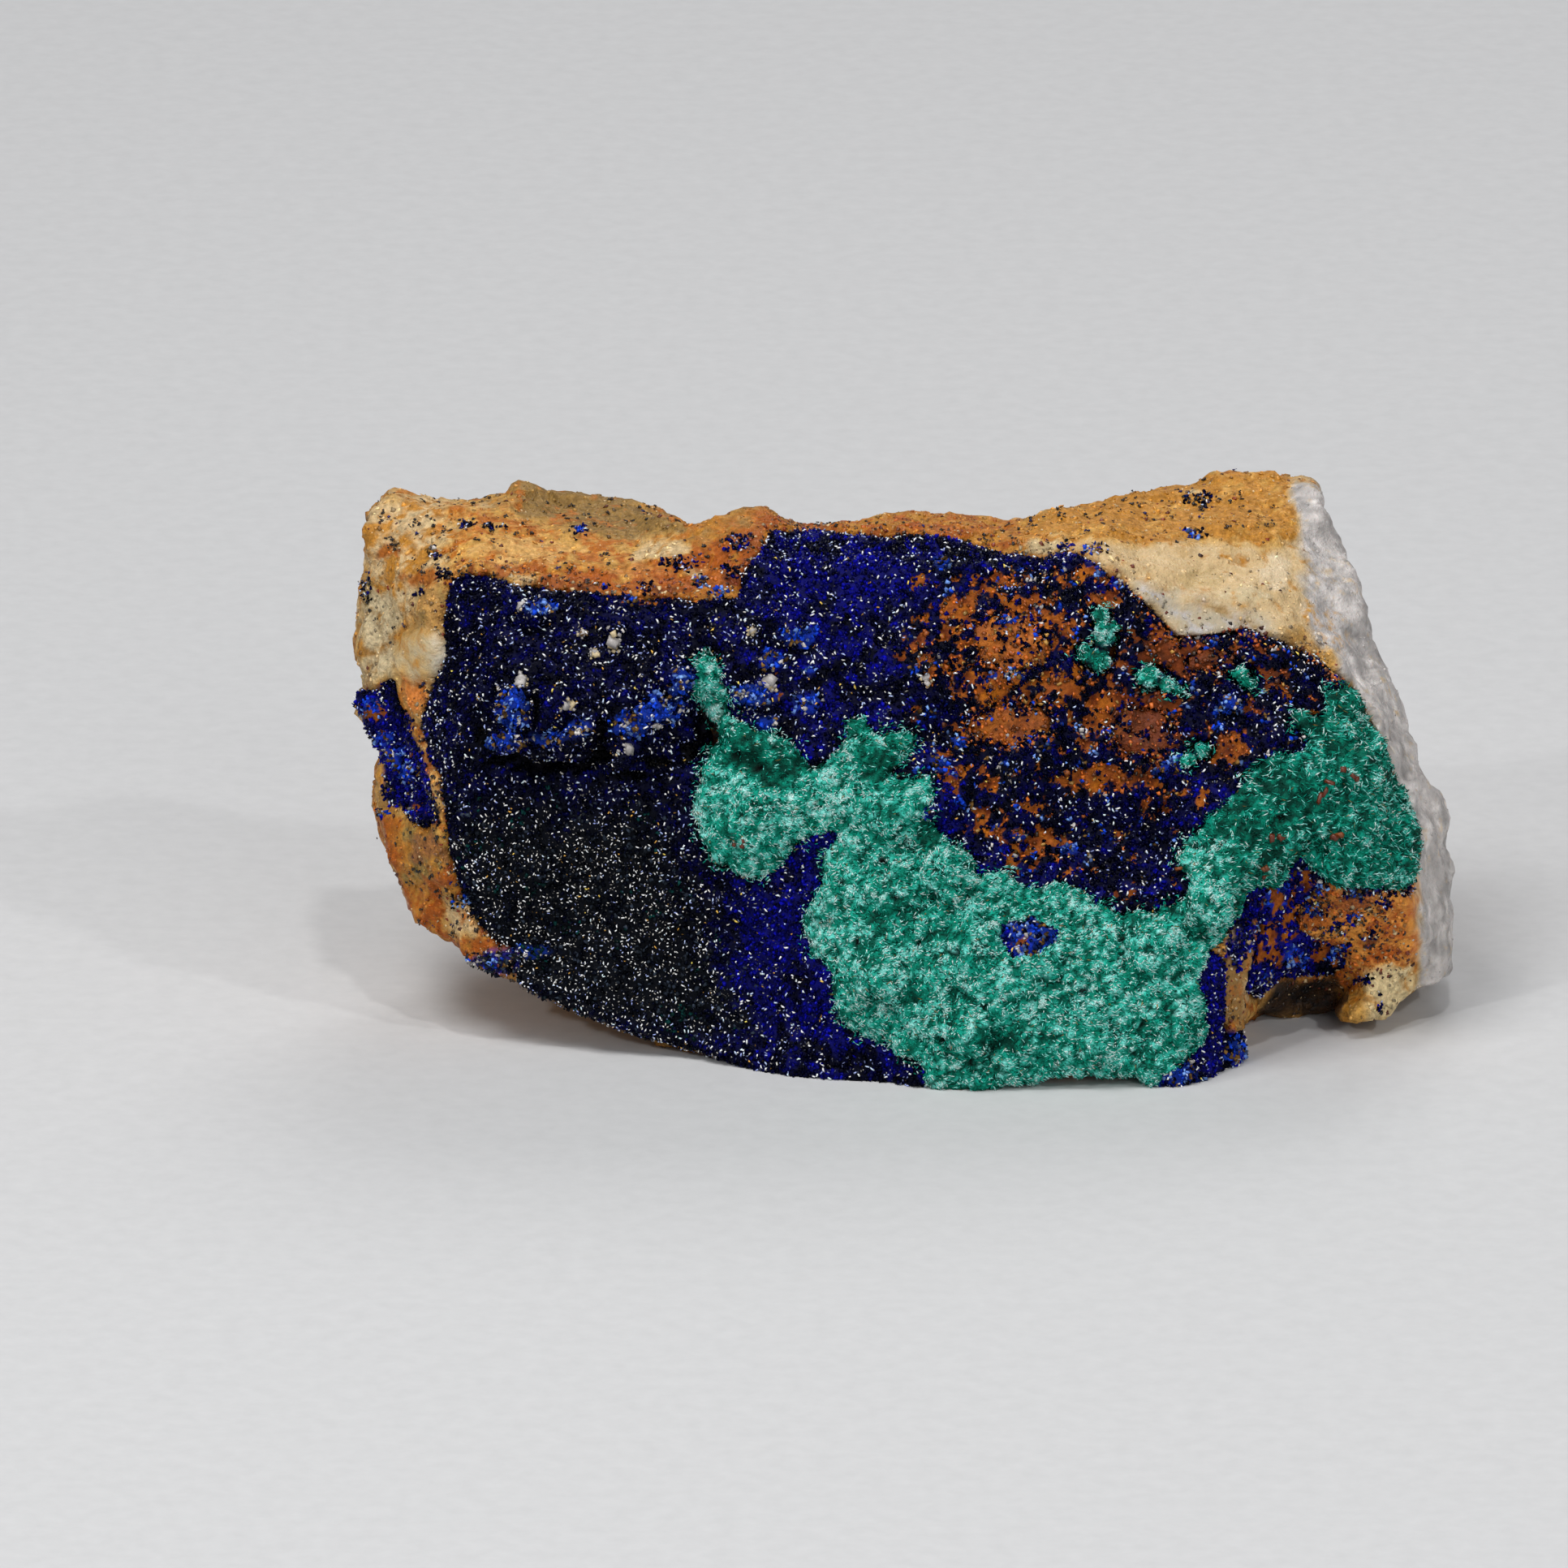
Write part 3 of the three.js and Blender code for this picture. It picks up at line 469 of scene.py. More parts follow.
# Parts of the stone: outline in u, v, then its colour, its stain, how much of the stain, softness
STONE_PATCHES = [
    ([(-34.8, 18.8), (-28.6, 18.6), (-27.8, 15.7), (-29.4, 12.6), (-31.7, 10.6), (-34.9, 10.6)],
     CREAM, GOLD, 0.5, 1.6),
    ([(-34.8, 12.4), (-32.1, 12.1), (-32.0, 7.0), (-34.6, 6.2)], PALE, TAN, 0.2, 1.0),
    ([(-30.7, 12.4), (-28.9, 12.4), (-28.7, 9.8), (-30.4, 10.1)], OLIVE, TAN, 0.3, 0.8),
    ([(-28.8, 17.5), (-21.4, 16.4), (-16.8, 15.5), (-13.7, 14.2), (-21.4, 12.5), (-28.6, 13.0)],
     HONEY, ORANGE, 0.55, 1.8),
    ([(-25.5, 13.7), (-16.8, 14.0), (-11.1, 16.0), (-8.0, 16.4), (-8.5, 12.6), (-13.1, 11.3),
      (-21.4, 11.6)], GOLD, DEEP_ORANGE, 0.8, 1.4),
    # the face behind the top left ridge, painted darker as shade
    ([(-25.3, 19.6), (-19.3, 19.4), (-13.2, 15.9), (-18.3, 15.5), (-24.5, 17.0)],
     (148, 114, 58), ORANGE, 0.2, 0.8),
    ([(-16.8, 15.6), (-14.4, 15.7), (-13.7, 14.7), (-17.3, 14.0)], CREAM, GOLD, 0.1, 0.5),
    ([(-10.0, 17.4), (6.4, 17.2), (9.8, 15.2), (0.0, 13.6), (-9.0, 14.6)], GOLD, DEEP_ORANGE, 0.5, 1.2),
    ([(-32.4, 7.2), (-29.2, 7.0), (-28.9, 4.1), (-29.0, -5.2), (-30.9, -5.2), (-30.9, 3.4)],
     (216, 172, 104), ORANGE, 0.35, 0.6),
    ([(-34.0, -1.8), (-28.9, -2.3), (-26.0, -9.0), (-24.0, -11.0), (-27.8, -12.6), (-32.2, -9.5)],
     GOLD, DEEP_ORANGE, 0.6, 1.0),
    ([(-29.2, -7.3), (-27.0, -7.5), (-27.0, -9.6), (-28.8, -9.7)], CREAM, ORANGE, 0.2, 0.8),
    ([(-32.4, -2.6), (-29.4, -2.6), (-28.9, -5.4), (-31.6, -6.6)], OLIVE, GOLD, 0.5, 1.4),
    ([(6.4, 16.0), (14.7, 19.6), (25.0, 20.4), (25.5, 14.9), (14.7, 14.9), (9.5, 15.2)],
     HONEY, GOLD, 0.75, 0.8),
    ([(9.6, 15.3), (14.7, 15.3), (25.6, 15.2), (26.6, 10.1), (22.9, 8.8), (17.8, 8.8), (14.7, 12.2)],
     CREAM, GOLD, 0.18, 1.0),
    ([(13.6, 13.4), (17.8, 11.6), (22.6, 10.9), (25.0, 8.4), (17.6, 8.4)],
     (186, 172, 146), GREY_QUARTZ, 0.35, 1.2),
    ([(24.8, 19.4), (28.4, 19.0), (34.0, 6.2), (39.0, -0.8), (39.0, -14.1), (32.5, -14.8),
      (32.1, -5.9), (30.2, 1.8), (27.6, 7.0), (25.6, 11.6)], GREY_QUARTZ, CREAM, 0.15, 0.7),
    ([(25.3, 11.3), (27.6, 11.1), (28.0, 8.4), (26.0, 8.6)], GREY_QUARTZ, HONEY, 0.3, 0.9),
    ([(24.0, -5.4), (32.4, -5.7), (32.6, -12.1), (27.1, -13.2), (22.4, -12.3)],
     (224, 148, 62), (188, 96, 28), 0.5, 0.8),
    ([(28.9, -11.6), (32.7, -11.4), (32.4, -15.2), (29.4, -15.2)], (224, 200, 150), GOLD, 0.15, 0.7),
    ([(19.0, -10.4), (21.1, -11.1), (21.4, -14.2), (20.0, -18.4), (17.9, -18.4), (19.4, -14.2)],
     TAN, ORANGE, 0.4, 0.5),
    ([(21.7, -7.3), (23.5, -8.0), (21.6, -12.3), (20.2, -11.6)], TAN, ORANGE, 0.4, 0.5),
    # the cave under the broken corner, painted near black as shade
    ([(23.2, -12.4), (27.4, -12.6), (27.6, -14.8), (22.6, -14.8)], CAVE, BLACK, 0.5, 0.6),
]
WHITE_SIDE = 15
CRUMBLY = [17, 19, 20]  # the broken corner and its thin septa
STREAKED = np.array([1.0, 1.0, 0.4])  # stretches a pattern upwards
CREAM_FACET = 13
CLEAR_EDGE = 14
CREASE = [(18.6, 11.6), (23.8, 9.0), (26.1, 8.6), (29.7, 3.3), (26.1, 8.6), (23.8, 9.0)]  # there and back
NODULE = (-30.6, 8.1, 1.75, 1.8)  # u, v, across, up
CAP = (-30.0, 11.2, 0.75, 1.4)  # smaller one above it
# Openings in the azurite with iron ore nearly level in them
WINDOWS = [
    [(4.1, 9.8), (5.7, 10.7), (7.6, 9.9), (9.0, 9.0), (8.5, 7.4), (6.4, 7.1), (4.6, 7.9)],
    [(3.9, 4.1), (5.7, 5.0), (8.8, 4.8), (9.5, 3.4), (7.0, 2.2), (4.4, 2.6)],
    [(13.9, 4.9), (16.2, 4.6), (17.0, 3.6), (16.2, 1.5), (13.9, 1.8), (12.7, 3.4)],
    [(17.6, 8.1), (20.0, 8.1), (20.0, 7.2), (17.8, 7.0)],
]
# Where iron ore shows between and under the azurite: outline, its colour, its stain
RUST_ZONE = [(0.8, 12.6), (7.5, 14.2), (14.7, 12.6), (17.3, 10.1), (24.0, 9.0), (27.1, 5.9), (25.0, 1.8),
             (18.8, 0.3), (17.3, -5.9), (11.1, -5.9), (3.4, -2.8), (0.8, 3.4)]
RED_ZONE = [(13.6, 9.4), (22.9, 9.4), (25.0, 7.0), (18.8, 1.2), (12.6, 0.8)]
# Parts of it where the azurite is open: u, v, across, up, how far
OPEN = [
    (5.2, 8.6, 4.4, 3.6, 0.62), (6.4, 5.0, 3.4, 2.0, 0.55), (4.4, 12.6, 3.4, 1.0, 0.45),
    (11.4, 6.4, 2.6, 2.4, 0.42), (14.7, 9.2, 2.6, 1.4, 0.5), (17.6, 8.0, 3.0, 1.4, 0.72),
    (14.2, 4.4, 3.0, 2.4, 0.68), (12.6, 0.3, 3.2, 1.1, 0.55), (8.0, -2.2, 2.2, 1.8, 0.42),
    (9.2, -5.0, 2.2, 0.9, 0.45), (3.2, 0.6, 1.8, 1.0, 0.4), (10.2, 12.8, 2.6, 0.9, 0.5),
    (19.0, 2.4, 3.0, 1.6, 0.45), (16.6, -1.2, 2.4, 0.9, 0.4), (22.4, 6.8, 1.8, 1.2, 0.45),
    (5.0, -2.6, 1.6, 1.0, 0.35), (24.8, -8.4, 2.6, 2.6, 0.55), (26.6, -11.0, 1.8, 1.0, 0.5),
    (23.4, -11.2, 1.2, 1.6, 0.4), (-34.2, 4.2, 1.3, 1.0, 0.5), (7.7, -10.0, 1.0, 0.6, 0.35),
    (-31.2, -1.6, 0.8, 0.6, 0.4), (-8.4, 5.9, 1.0, 1.2, 0.35), (-16.4, 11.6, 1.6, 0.4, 0.4),
]
# Bare patches in it: u, v, across, up
BARE = [
    (6.8, 8.8, 2.6, 1.5), (6.2, 3.7, 2.7, 1.2), (14.9, 3.4, 1.9, 1.9), (12.9, 0.0, 2.4, 0.8),
    (18.6, 7.6, 1.9, 0.9), (8.4, -3.7, 1.0, 0.7), (6.6, -4.9, 0.8, 0.6), (9.5, 6.6, 1.3, 0.9),
    (7.8, 11.2, 1.6, 0.8), (3.2, 11.4, 1.0, 0.6), (12.4, 11.6, 1.4, 0.7), (11.0, 13.2, 1.2, 0.5),
    (3.4, 0.9, 0.9, 0.4), (19.8, 1.9, 1.6, 0.9), (5.2, 0.0, 0.9, 0.5), (14.0, -7.0, 0.9, 0.4),
]
# Bright blue spots: u, v, across, up
BRIGHT = [
    (-12.9, 12.6, 0.6, 0.5), (-24.7, 4.6, 1.0, 1.6), (-25.3, 2.7, 1.3, 0.5), (-22.6, 2.8, 1.1, 0.6),
    (-20.6, 3.4, 0.8, 0.7), (-17.4, 3.6, 1.1, 1.0), (-15.4, 4.7, 1.3, 0.9), (-22.9, 11.1, 0.9, 0.5),
    (-17.3, 11.6, 0.5, 0.4), (-6.7, 9.2, 1.2, 0.6), (-9.5, 5.6, 1.7, 0.7), (-6.4, 5.0, 1.0, 0.7),
    (-14.2, 6.4, 0.9, 0.8), (-8.6, 3.8, 0.8, 0.5), (2.3, 13.9, 0.5, 0.4), (5.5, 6.4, 0.45, 0.6),
    (6.9, 6.8, 0.45, 0.35), (8.0, 9.5, 0.4, 0.4), (6.4, 10.2, 0.5, 0.4), (7.2, 3.5, 0.4, 0.35),
    (20.5, 5.0, 0.9, 0.5), (17.3, 1.5, 0.6, 0.4), (16.2, 1.0, 0.5, 0.4), (-33.0, 2.8, 0.6, 0.5),
    (-32.2, 1.6, 0.6, 0.8), (3.4, 2.6, 0.5, 0.4), (2.1, 1.2, 0.6, 0.5), (2.9, 0.4, 0.5, 0.4),
    (1.2, -1.7, 0.5, 0.4), (5.6, -2.8, 0.4, 0.4), (7.1, -3.3, 0.5, 0.4), (10.2, -4.1, 0.8, 0.4),
    (18.3, 15.7, 0.45, 0.3), (20.8, -17.0, 0.8, 0.9), (-23.6, -10.6, 1.4, 0.4), (17.0, -18.3, 1.5, 0.9),
    (15.2, -19.4, 1.2, 0.6), (-26.2, -11.3, 1.5, 0.6), (7.6, -10.0, 1.6, 1.1), (-31.6, 0.6, 0.8, 0.8),
    (-34.0, 4.9, 0.8, 0.5), (23.4, -7.2, 0.8, 0.8), (24.6, -11.0, 0.9, 0.6), (-8.4, 7.8, 0.8, 0.6),
    (-6.2, 7.2, 0.6, 0.3), (12.0, 13.4, 0.5, 0.4), (13.4, 12.4, 0.4, 0.3),
]
# Saturated blue fields: u, v, across, up
BLUE_FIELDS = [
    (-8.2, -9.6, 3.4, 4.2), (-6.2, -4.6, 2.4, 1.2), (-6.6, 12.4, 1.8, 2.2), (-5.4, -14.0, 2.0, 2.0),
    (-11.2, -3.0, 1.2, 2.0), (24.0, -8.6, 4.0, 4.4), (-32.0, 1.0, 2.4, 4.0), (-33.8, 4.6, 1.6, 1.6),
    (-2.0, 12.6, 3.4, 2.0), (19.2, -13.0, 1.4, 4.0), (2.0, -1.0, 1.6, 1.6),
]
DULL_FIELD = [(-28.1, -1.8), (-16.2, -1.8), (-10.1, -14.7), (-16.2, -16.2), (-28.5, -12.1)]
# Bits of pale quartz that stand in the azurite: u, v, across, up
PALE_BITS = [
    (-18.3, 9.0, 0.45, 1.0), (-19.6, 8.1, 0.35, 0.3), (-20.4, 9.4, 0.25, 0.25),
    (-24.2, 11.1, 0.35, 0.3), (-21.4, 4.9, 0.55, 0.4), (-17.8, 2.1, 0.6, 0.4), (-8.5, 6.3, 0.45, 0.6),
    (-15.7, 3.7, 0.5, 0.25), (1.3, 6.5, 0.3, 0.5), (-24.2, 6.4, 0.35, 0.4), (-9.7, 9.6, 0.3, 0.25),
    (23.7, -1.8, 0.25, 0.2),
]
# Outline of the crusts together
CRUSTED = [
    (-28.5, 12.5), (-27.8, 13.0), (-26.4, 12.9), (-24.5, 12.2), (-21.4, 11.9), (-16.8, 11.4),
    (-12.6, 11.3), (-10.2, 11.6), (-9.9, 13.4), (-8.4, 15.7), (-5.9, 15.8), (-1.8, 15.3), (1.8, 15.4),
    (4.4, 14.8), (6.7, 14.1), (11.1, 14.2), (12.7, 13.0), (14.7, 11.3), (17.0, 9.0), (19.8, 9.0),
    (21.5, 9.6), (25.6, 7.9), (28.2, 5.8), (31.6, -0.9), (32.3, -3.9), (31.8, -6.2), (27.5, -6.2),
    (24.8, -4.2), (23.5, -6.2), (21.5, -6.4), (20.7, -8.6), (19.0, -10.5), (18.0, -12.4), (18.8, -14.3),
    (18.6, -16.6), (16.8, -17.8), (15.0, -21.0), (-8.0, -21.5), (-20.0, -17.5), (-25.2, -14.5),
    (-24.5, -12.6), (-24.0, -10.3), (-25.9, -9.9), (-27.0, -8.4), (-28.1, -6.2), (-28.6, -3.9),
    (-28.8, -1.5), (-29.2, 0.8), (-29.9, 1.8), (-30.2, 3.4), (-30.2, 4.4), (-29.6, 5.9), (-28.8, 7.7),
    (-28.9, 10.3),
]
# Rock that azurite grains coat: outlines in u, v
COATED = [
    [(-32.4, 7.2), (-32.3, 5.8), (-31.7, 4.5), (-31.3, 3.1), (-31.0, 2.5), (-30.4, 1.1), (-30.1, 0.2),
     (-29.7, -0.9), (-29.6, -2.5), (-30.9, -2.2), (-32.4, -1.6), (-33.0, -0.9), (-33.2, 0.2), (-33.2, 3.3),
     (-33.0, 6.0)],
    [(-27.8, -11.3), (-27.3, -10.8), (-26.0, -10.7), (-24.5, -10.2), (-23.7, -11.3), (-24.5, -12.1),
     (-26.5, -12.3), (-27.8, -12.0)],
    [(21.2, -7.6), (22.4, -8.0), (22.0, -10.2), (20.8, -11.4), (20.2, -10.2)],
    [(20.0, -15.9), (21.4, -15.9), (20.8, -18.0), (19.0, -18.6)],
    [(27.4, -6.2), (30.6, -6.2), (32.4, -6.0), (32.0, -6.9), (28.0, -7.2)],
]
# Marks on the rock: u, v, across, up, colour
MARKS = [
    (18.6, 13.0, 1.7, 0.6, (196, 168, 118)), (21.6, 12.0, 1.4, 0.5, PALE),
    (23.6, 13.4, 1.0, 1.2, (226, 204, 168)), (18.6, 18.6, 0.4, 0.2, PALE),
    (-32.8, 14.8, 0.8, 0.5, DEEP_ORANGE), (-30.5, 13.0, 1.2, 0.6, DEEP_ORANGE),
    (-29.2, 6.3, 0.9, 0.6, DEEP_ORANGE), (-31.6, 6.6, 0.5, 0.5, ORANGE), (-34.3, 12.3, 0.4, 0.9, OLIVE),
    (28.2, 4.6, 0.3, 1.6, TAN), (26.8, 7.4, 0.5, 0.9, HONEY), (29.6, -10.0, 0.6, 0.4, RED_BROWN),
    (-28.6, -10.6, 0.6, 0.4, RED_BROWN), (-18.0, 12.4, 1.6, 0.5, DEEP_ORANGE),
    (-22.6, 12.6, 1.2, 0.5, RUST), (-12.0, 13.0, 1.4, 0.8, DEEP_ORANGE), (-25.6, 13.4, 1.0, 0.4, RUST),
    (-9.6, 15.4, 1.0, 0.7, RUST), (-29.6, -3.6, 1.0, 0.6, HONEY), (-30.6, -5.4, 0.8, 0.5, OLIVE),
    (25.6, -8.6, 1.2, 0.8, DEEP_ORANGE), (28.4, -7.6, 1.4, 0.5, RUST), (8.6, 15.0, 1.2, 0.4, PALE),
    (3.4, 15.8, 1.6, 0.4, DEEP_ORANGE), (-20.4, 12.4, 0.8, 0.3, RED_BROWN),
    (-15.2, 12.2, 0.9, 0.3, RED_BROWN), (-17.6, 13.0, 0.7, 0.3, HONEY), (-13.4, 13.4, 0.7, 0.4, CREAM),
    (-11.2, 12.6, 0.6, 0.5, RED_BROWN), (-24.0, 12.9, 0.8, 0.3, CREAM),
    (-31.0, 5.7, 0.9, 1.1, (206, 116, 44)), (-29.9, 11.2, 0.8, 1.2, (192, 142, 76)),
    (-24.0, 14.7, 3.2, 0.8, (220, 170, 98)), (-16.6, 13.3, 1.8, 0.5, (204, 132, 64)),
    # the mark at 27.4, -13.7 is painted shade: the dark hollow at the left of the broken block
    (-30.4, -4.2, 1.2, 1.0, (150, 94, 50)), (27.4, -13.7, 0.6, 1.1, (80, 52, 32)),
]
# Clumps of azurite grains on the rock: u, v, across, up, whether they are bright
CLUMPS = [
    (19.1, 18.2, 0.5, 0.45, False), (18.0, 18.1, 0.3, 0.25, True), (18.3, 15.8, 0.6, 0.3, True),
    (-13.0, 12.7, 0.55, 0.45, True), (-14.3, 13.8, 0.95, 0.5, False), (-20.6, 16.1, 0.35, 0.25, True),
    (-30.0, 14.7, 0.35, 0.35, True), (-27.8, 16.4, 0.4, 0.25, False), (-25.9, 16.3, 0.7, 0.2, False),
    (-10.6, 15.0, 0.8, 0.7, False), (-11.0, 13.4, 0.7, 0.4, False), (-28.1, -7.5, 0.7, 0.4, True),
    (-27.3, -8.3, 0.5, 0.35, False), (-30.3, -10.2, 0.4, 0.35, True), (-27.6, -11.2, 0.5, 0.3, True),
    (28.6, -6.8, 0.8, 0.4, True), (31.2, -6.7, 0.9, 0.4, False), (26.2, -6.8, 0.5, 0.5, True),
    (27.4, -9.2, 0.5, 0.4, False), (29.2, -12.4, 0.5, 0.25, False), (30.1, -14.0, 0.14, 0.7, False),
    (-34.3, 12.4, 0.35, 0.5, False), (-29.3, 13.2, 0.6, 0.4, False), (-30.8, 12.0, 0.3, 0.25, False),
    (12.0, 14.8, 0.6, 0.3, True), (10.2, 14.9, 0.5, 0.3, False), (-33.2, -1.9, 0.35, 0.25, True),
    (26.0, -8.0, 1.0, 0.6, True), (28.6, -8.6, 0.6, 0.4, True), (30.4, -7.4, 0.5, 0.5, False),
    (27.6, -10.6, 0.5, 0.4, True), (29.6, -9.6, 0.4, 0.3, False), (-16.2, 12.3, 0.7, 0.3, False),
    (-19.2, 12.5, 0.4, 0.2, True), (-11.8, 12.0, 0.6, 0.4, True),
]
# Hollows in the azurite where little light falls, carved and painted darker as shade: u, v, across, up,
# depth
HOLLOWS = [
    (-25.2, 1.5, 1.5, 0.4, 0.5), (-23.2, 1.0, 1.7, 0.45, 0.6), (-21.0, 1.0, 1.4, 0.4, 0.5),
    (-19.3, 1.7, 0.8, 0.6, 0.4), (-17.4, 0.5, 1.3, 0.4, 0.5), (-15.6, 1.4, 1.0, 0.4, 0.4),
    (-12.4, 3.5, 1.0, 1.6, 0.9), (-19.2, 3.4, 0.4, 1.0, 0.5), (-23.3, 4.8, 0.35, 1.2, 0.4),
    (-26.8, 3.0, 0.4, 0.9, 0.3), (-13.6, 2.0, 0.6, 0.9, 0.5),
]
# Pits in the malachite, carved and painted black as shade: u, v
PITS = [
    (-4.0, -6.2), (-3.1, -10.0), (0.8, -10.1), (3.2, -10.7), (4.9, -14.1), (2.3, -16.2), (-1.5, -4.9),
    (-0.8, -7.3), (4.1, -17.6), (-10.7, 1.6), (-9.4, 0.9), (18.2, -3.9), (13.6, -9.8), (11.2, -13.1),
    (14.9, -15.2), (23.6, -2.2),
]
# Small balls of malachite in the separate tufts: u, v, radius
TUFT_BALLS = [
    (12.3, 10.5, 0.62), (12.5, 9.45, 0.72), (11.2, 8.2, 0.6), (12.2, 7.7, 0.75), (13.2, 9.9, 0.35),
    (15.3, 6.75, 0.8), (16.5, 6.25, 0.6), (17.2, 5.6, 0.5), (21.1, 6.9, 0.5), (21.5, 6.4, 0.4),
    (21.8, 6.05, 0.35), (17.8, 1.5, 0.52), (18.8, 2.1, 0.55),
]
# Dark green recesses of it, lowered a little and painted darker as shade: u, v, across, up, amount
SHADED_RECESSES = [
    (-10.8, 2.4, 1.6, 1.4, 0.75), (-8.6, 1.1, 2.2, 1.3, 0.85), (-6.4, 1.5, 1.5, 0.9, 0.65),
    (-1.6, 1.0, 1.1, 1.4, 0.65), (-3.0, 3.6, 0.9, 0.8, 0.5), (1.5, -3.1, 0.9, 0.9, 0.6),
    (-11.6, 6.0, 0.8, 1.2, 0.4), (-1.0, -9.0, 1.6, 1.2, 0.4), (6.0, -16.0, 1.6, 0.8, 0.55),
    (7.4, -7.6, 1.4, 0.7, 0.4), (0.6, -13.4, 1.0, 0.8, 0.4), (2.4, -9.4, 1.0, 0.8, 0.4),
    (20.5, -1.6, 2.6, 2.2, 0.45), (24.5, -1.0, 1.6, 1.8, 0.5), (16.4, -7.2, 1.4, 1.8, 0.3),
    (-10.6, 8.8, 0.8, 1.0, 0.4),
]
# Flecks of iron ore on the malachite: u, v, half length, half width, turn in degrees
FLECKS = [
    (28.1, 0.6, 0.45, 0.25, -30), (26.3, -0.4, 1.1, 0.14, 55), (23.5, -3.4, 0.8, 0.2, -5),
    (27.1, -3.2, 0.4, 0.3, 40), (17.4, -5.6, 0.35, 0.25, 80), (22.5, -5.4, 0.5, 0.2, 75),
    (-6.1, 3.4, 0.4, 0.15, 10), (-10.4, -3.8, 0.2, 0.15, 30),
]
# Clusters of dark grains on the stone: u, v, across, up, grains for each mm2
SPECK_CLUSTERS = [
    (-32.7, 17.0, 0.8, 0.6, 2.6), (-30.2, 16.1, 1.4, 0.8, 2.2), (-32.9, 15.1, 0.8, 0.5, 2.4),
    (-29.5, 13.7, 1.4, 0.7, 2.8), (-34.0, 12.1, 0.5, 1.2, 2.0), (-25.7, 16.0, 0.5, 0.3, 2.6),
    (-24.0, 15.8, 0.8, 0.3, 2.6), (-20.6, 15.3, 0.6, 0.3, 2.0), (-19.2, 14.5, 0.5, 0.3, 2.2),
    (-14.4, 13.9, 0.6, 0.3, 2.6), (-27.0, 16.6, 3.5, 1.6, 0.5), (-21.0, 12.9, 3.5, 1.0, 0.9),
    (-19.0, 17.4, 5.0, 1.2, 0.5), (16.0, 17.2, 9.0, 1.8, 0.5), (19.0, 18.2, 1.2, 0.5, 3.0),
    (-30.4, -5.2, 1.6, 2.0, 0.9), (-28.2, -8.8, 1.0, 0.9, 1.8), (-30.4, -8.8, 0.9, 0.8, 1.4),
    (-31.8, 9.4, 1.2, 2.0, 0.6), (8.0, 15.6, 2.6, 0.6, 0.6), (27.0, -9.0, 3.6, 2.8, 1.6),
    (-29.0, -4.5, 1.8, 3.0, 0.8), (-11.0, 14.6, 2.4, 1.2, 1.4), (26.6, 14.2, 0.5, 2.0, 0.5),
]


def face_zone(normals):
    """Share of the front surface, without the back and the underside."""
    return smooth(-0.15, 0.2, normals @ FACE_W)


def stone_patch(face, number, soft, ragged):
    """Share of one of the parts of the stone."""
    return patch(face, STONE_PATCHES[number][0], soft, ragged, 47)


def white_share(face):
    """Share of the white side."""
    return stone_patch(face, WHITE_SIDE, 0.8, 0.8)


def rust_zone(face, soft=1.0, ragged=0.4):
    """Share of the field where iron ore shows between the azurite."""
    return patch(face, RUST_ZONE, soft, ragged, 21)


def red_share(face):
    """Share of the redder part of it."""
    return patch(face, RED_ZONE, 2.5, 1.0, 31)


def dull_share(face):
    """Share of the dull lower left of the azurite."""
    return patch(face, DULL_FIELD, 4.0, 1.0, 61)


def field_share(face):
    """Share of the saturated blue fields."""
    return spots(face, BLUE_FIELDS, 1.0, 63)


def bright_share(face):
    """Share of the bright blue spots, those on the rock with them."""
    return spots(face, BRIGHT + [clump for clump in CLUMPS if clump[4]], 0.7, 65)


def right_share(face):
    """Share of the darker malachite at the right edge."""
    return smooth(19, 23, face[:, 0]) * (face[:, 1] > -7)


def crumbly_share(face):
    """Share of the broken corner, where loose chips lie on the rock."""
    return np.max([stone_patch(face, number, 1.0, 0.5) for number in CRUMBLY], 0)


def seen_share(normals):
    """Share of what is seen from in front, the top with it."""
    return smooth(-0.45, -0.15, normals @ FACE_W)


def open_share(face):
    """How far iron ore shows between the azurite grains, 0 to 1."""
    lace = rough(face, 2.4, 23, 3, 0.7)
    share = rust_zone(face, 3.0, 1.4) * np.clip(0.24 + 0.36 * lace, 0, 1)
    share = np.maximum(share, spots(face, OPEN, 0.9, 27, lambda amount: amount + 0.16 + 0.3 * lace))
    share = np.maximum(share, spots(face, BARE, 0.7, 29) * (0.86 + 0.2 * lace))
    return np.clip(share, 0, 1)


def grains_of(face):
    """Azurite grains in the open part: whether one stands here, and its number."""
    fine, fine_number = clusters(face * FLAT, 0.62, 111)
    broad, broad_number = clusters(face * FLAT, 1.15, 113)
    broad = broad - 0.06
    nearness = np.maximum(fine, broad)
    limit = np.interp(open_share(face), [0, 0.05, 0.2, 0.5, 0.8, 1.0], [-0.1, 0.3, 0.55, 0.72, 0.86, 1.0])
    return smooth(-0.05, 0.05, nearness - limit), np.where(fine > broad, fine_number, broad_number)


def rust_colours(face):
    """Colour and stain of the iron ore."""
    red = red_share(face)
    tone = mixed(RUST, ORANGE, smooth(-0.6, 0.7, rough(face, 1.2, 33)))
    return mixed(tone, RED_BROWN, red * 0.75), mixed(rows(RED_BROWN, len(face)), CAVE, red * 0.4)


def crease_share(face):
    """Share of the thin crease across the cream facet and down beside the white side."""
    return smooth(0.3, 0.05, -inside(face, CREASE) + 0.15 * rough(face, 0.8, 105))


def opening_share(face):
    """Share of the openings in the azurite."""
    return np.max([smooth(-0.35, 0.0, inside(face, outline)) for outline in WINDOWS], 0)


def rim_share(face):
    """Share of the rims of the openings, where grains bridge the gap."""
    return np.max([smooth(0.65, 0.25, np.abs(inside(face, outline))) for outline in WINDOWS], 0)


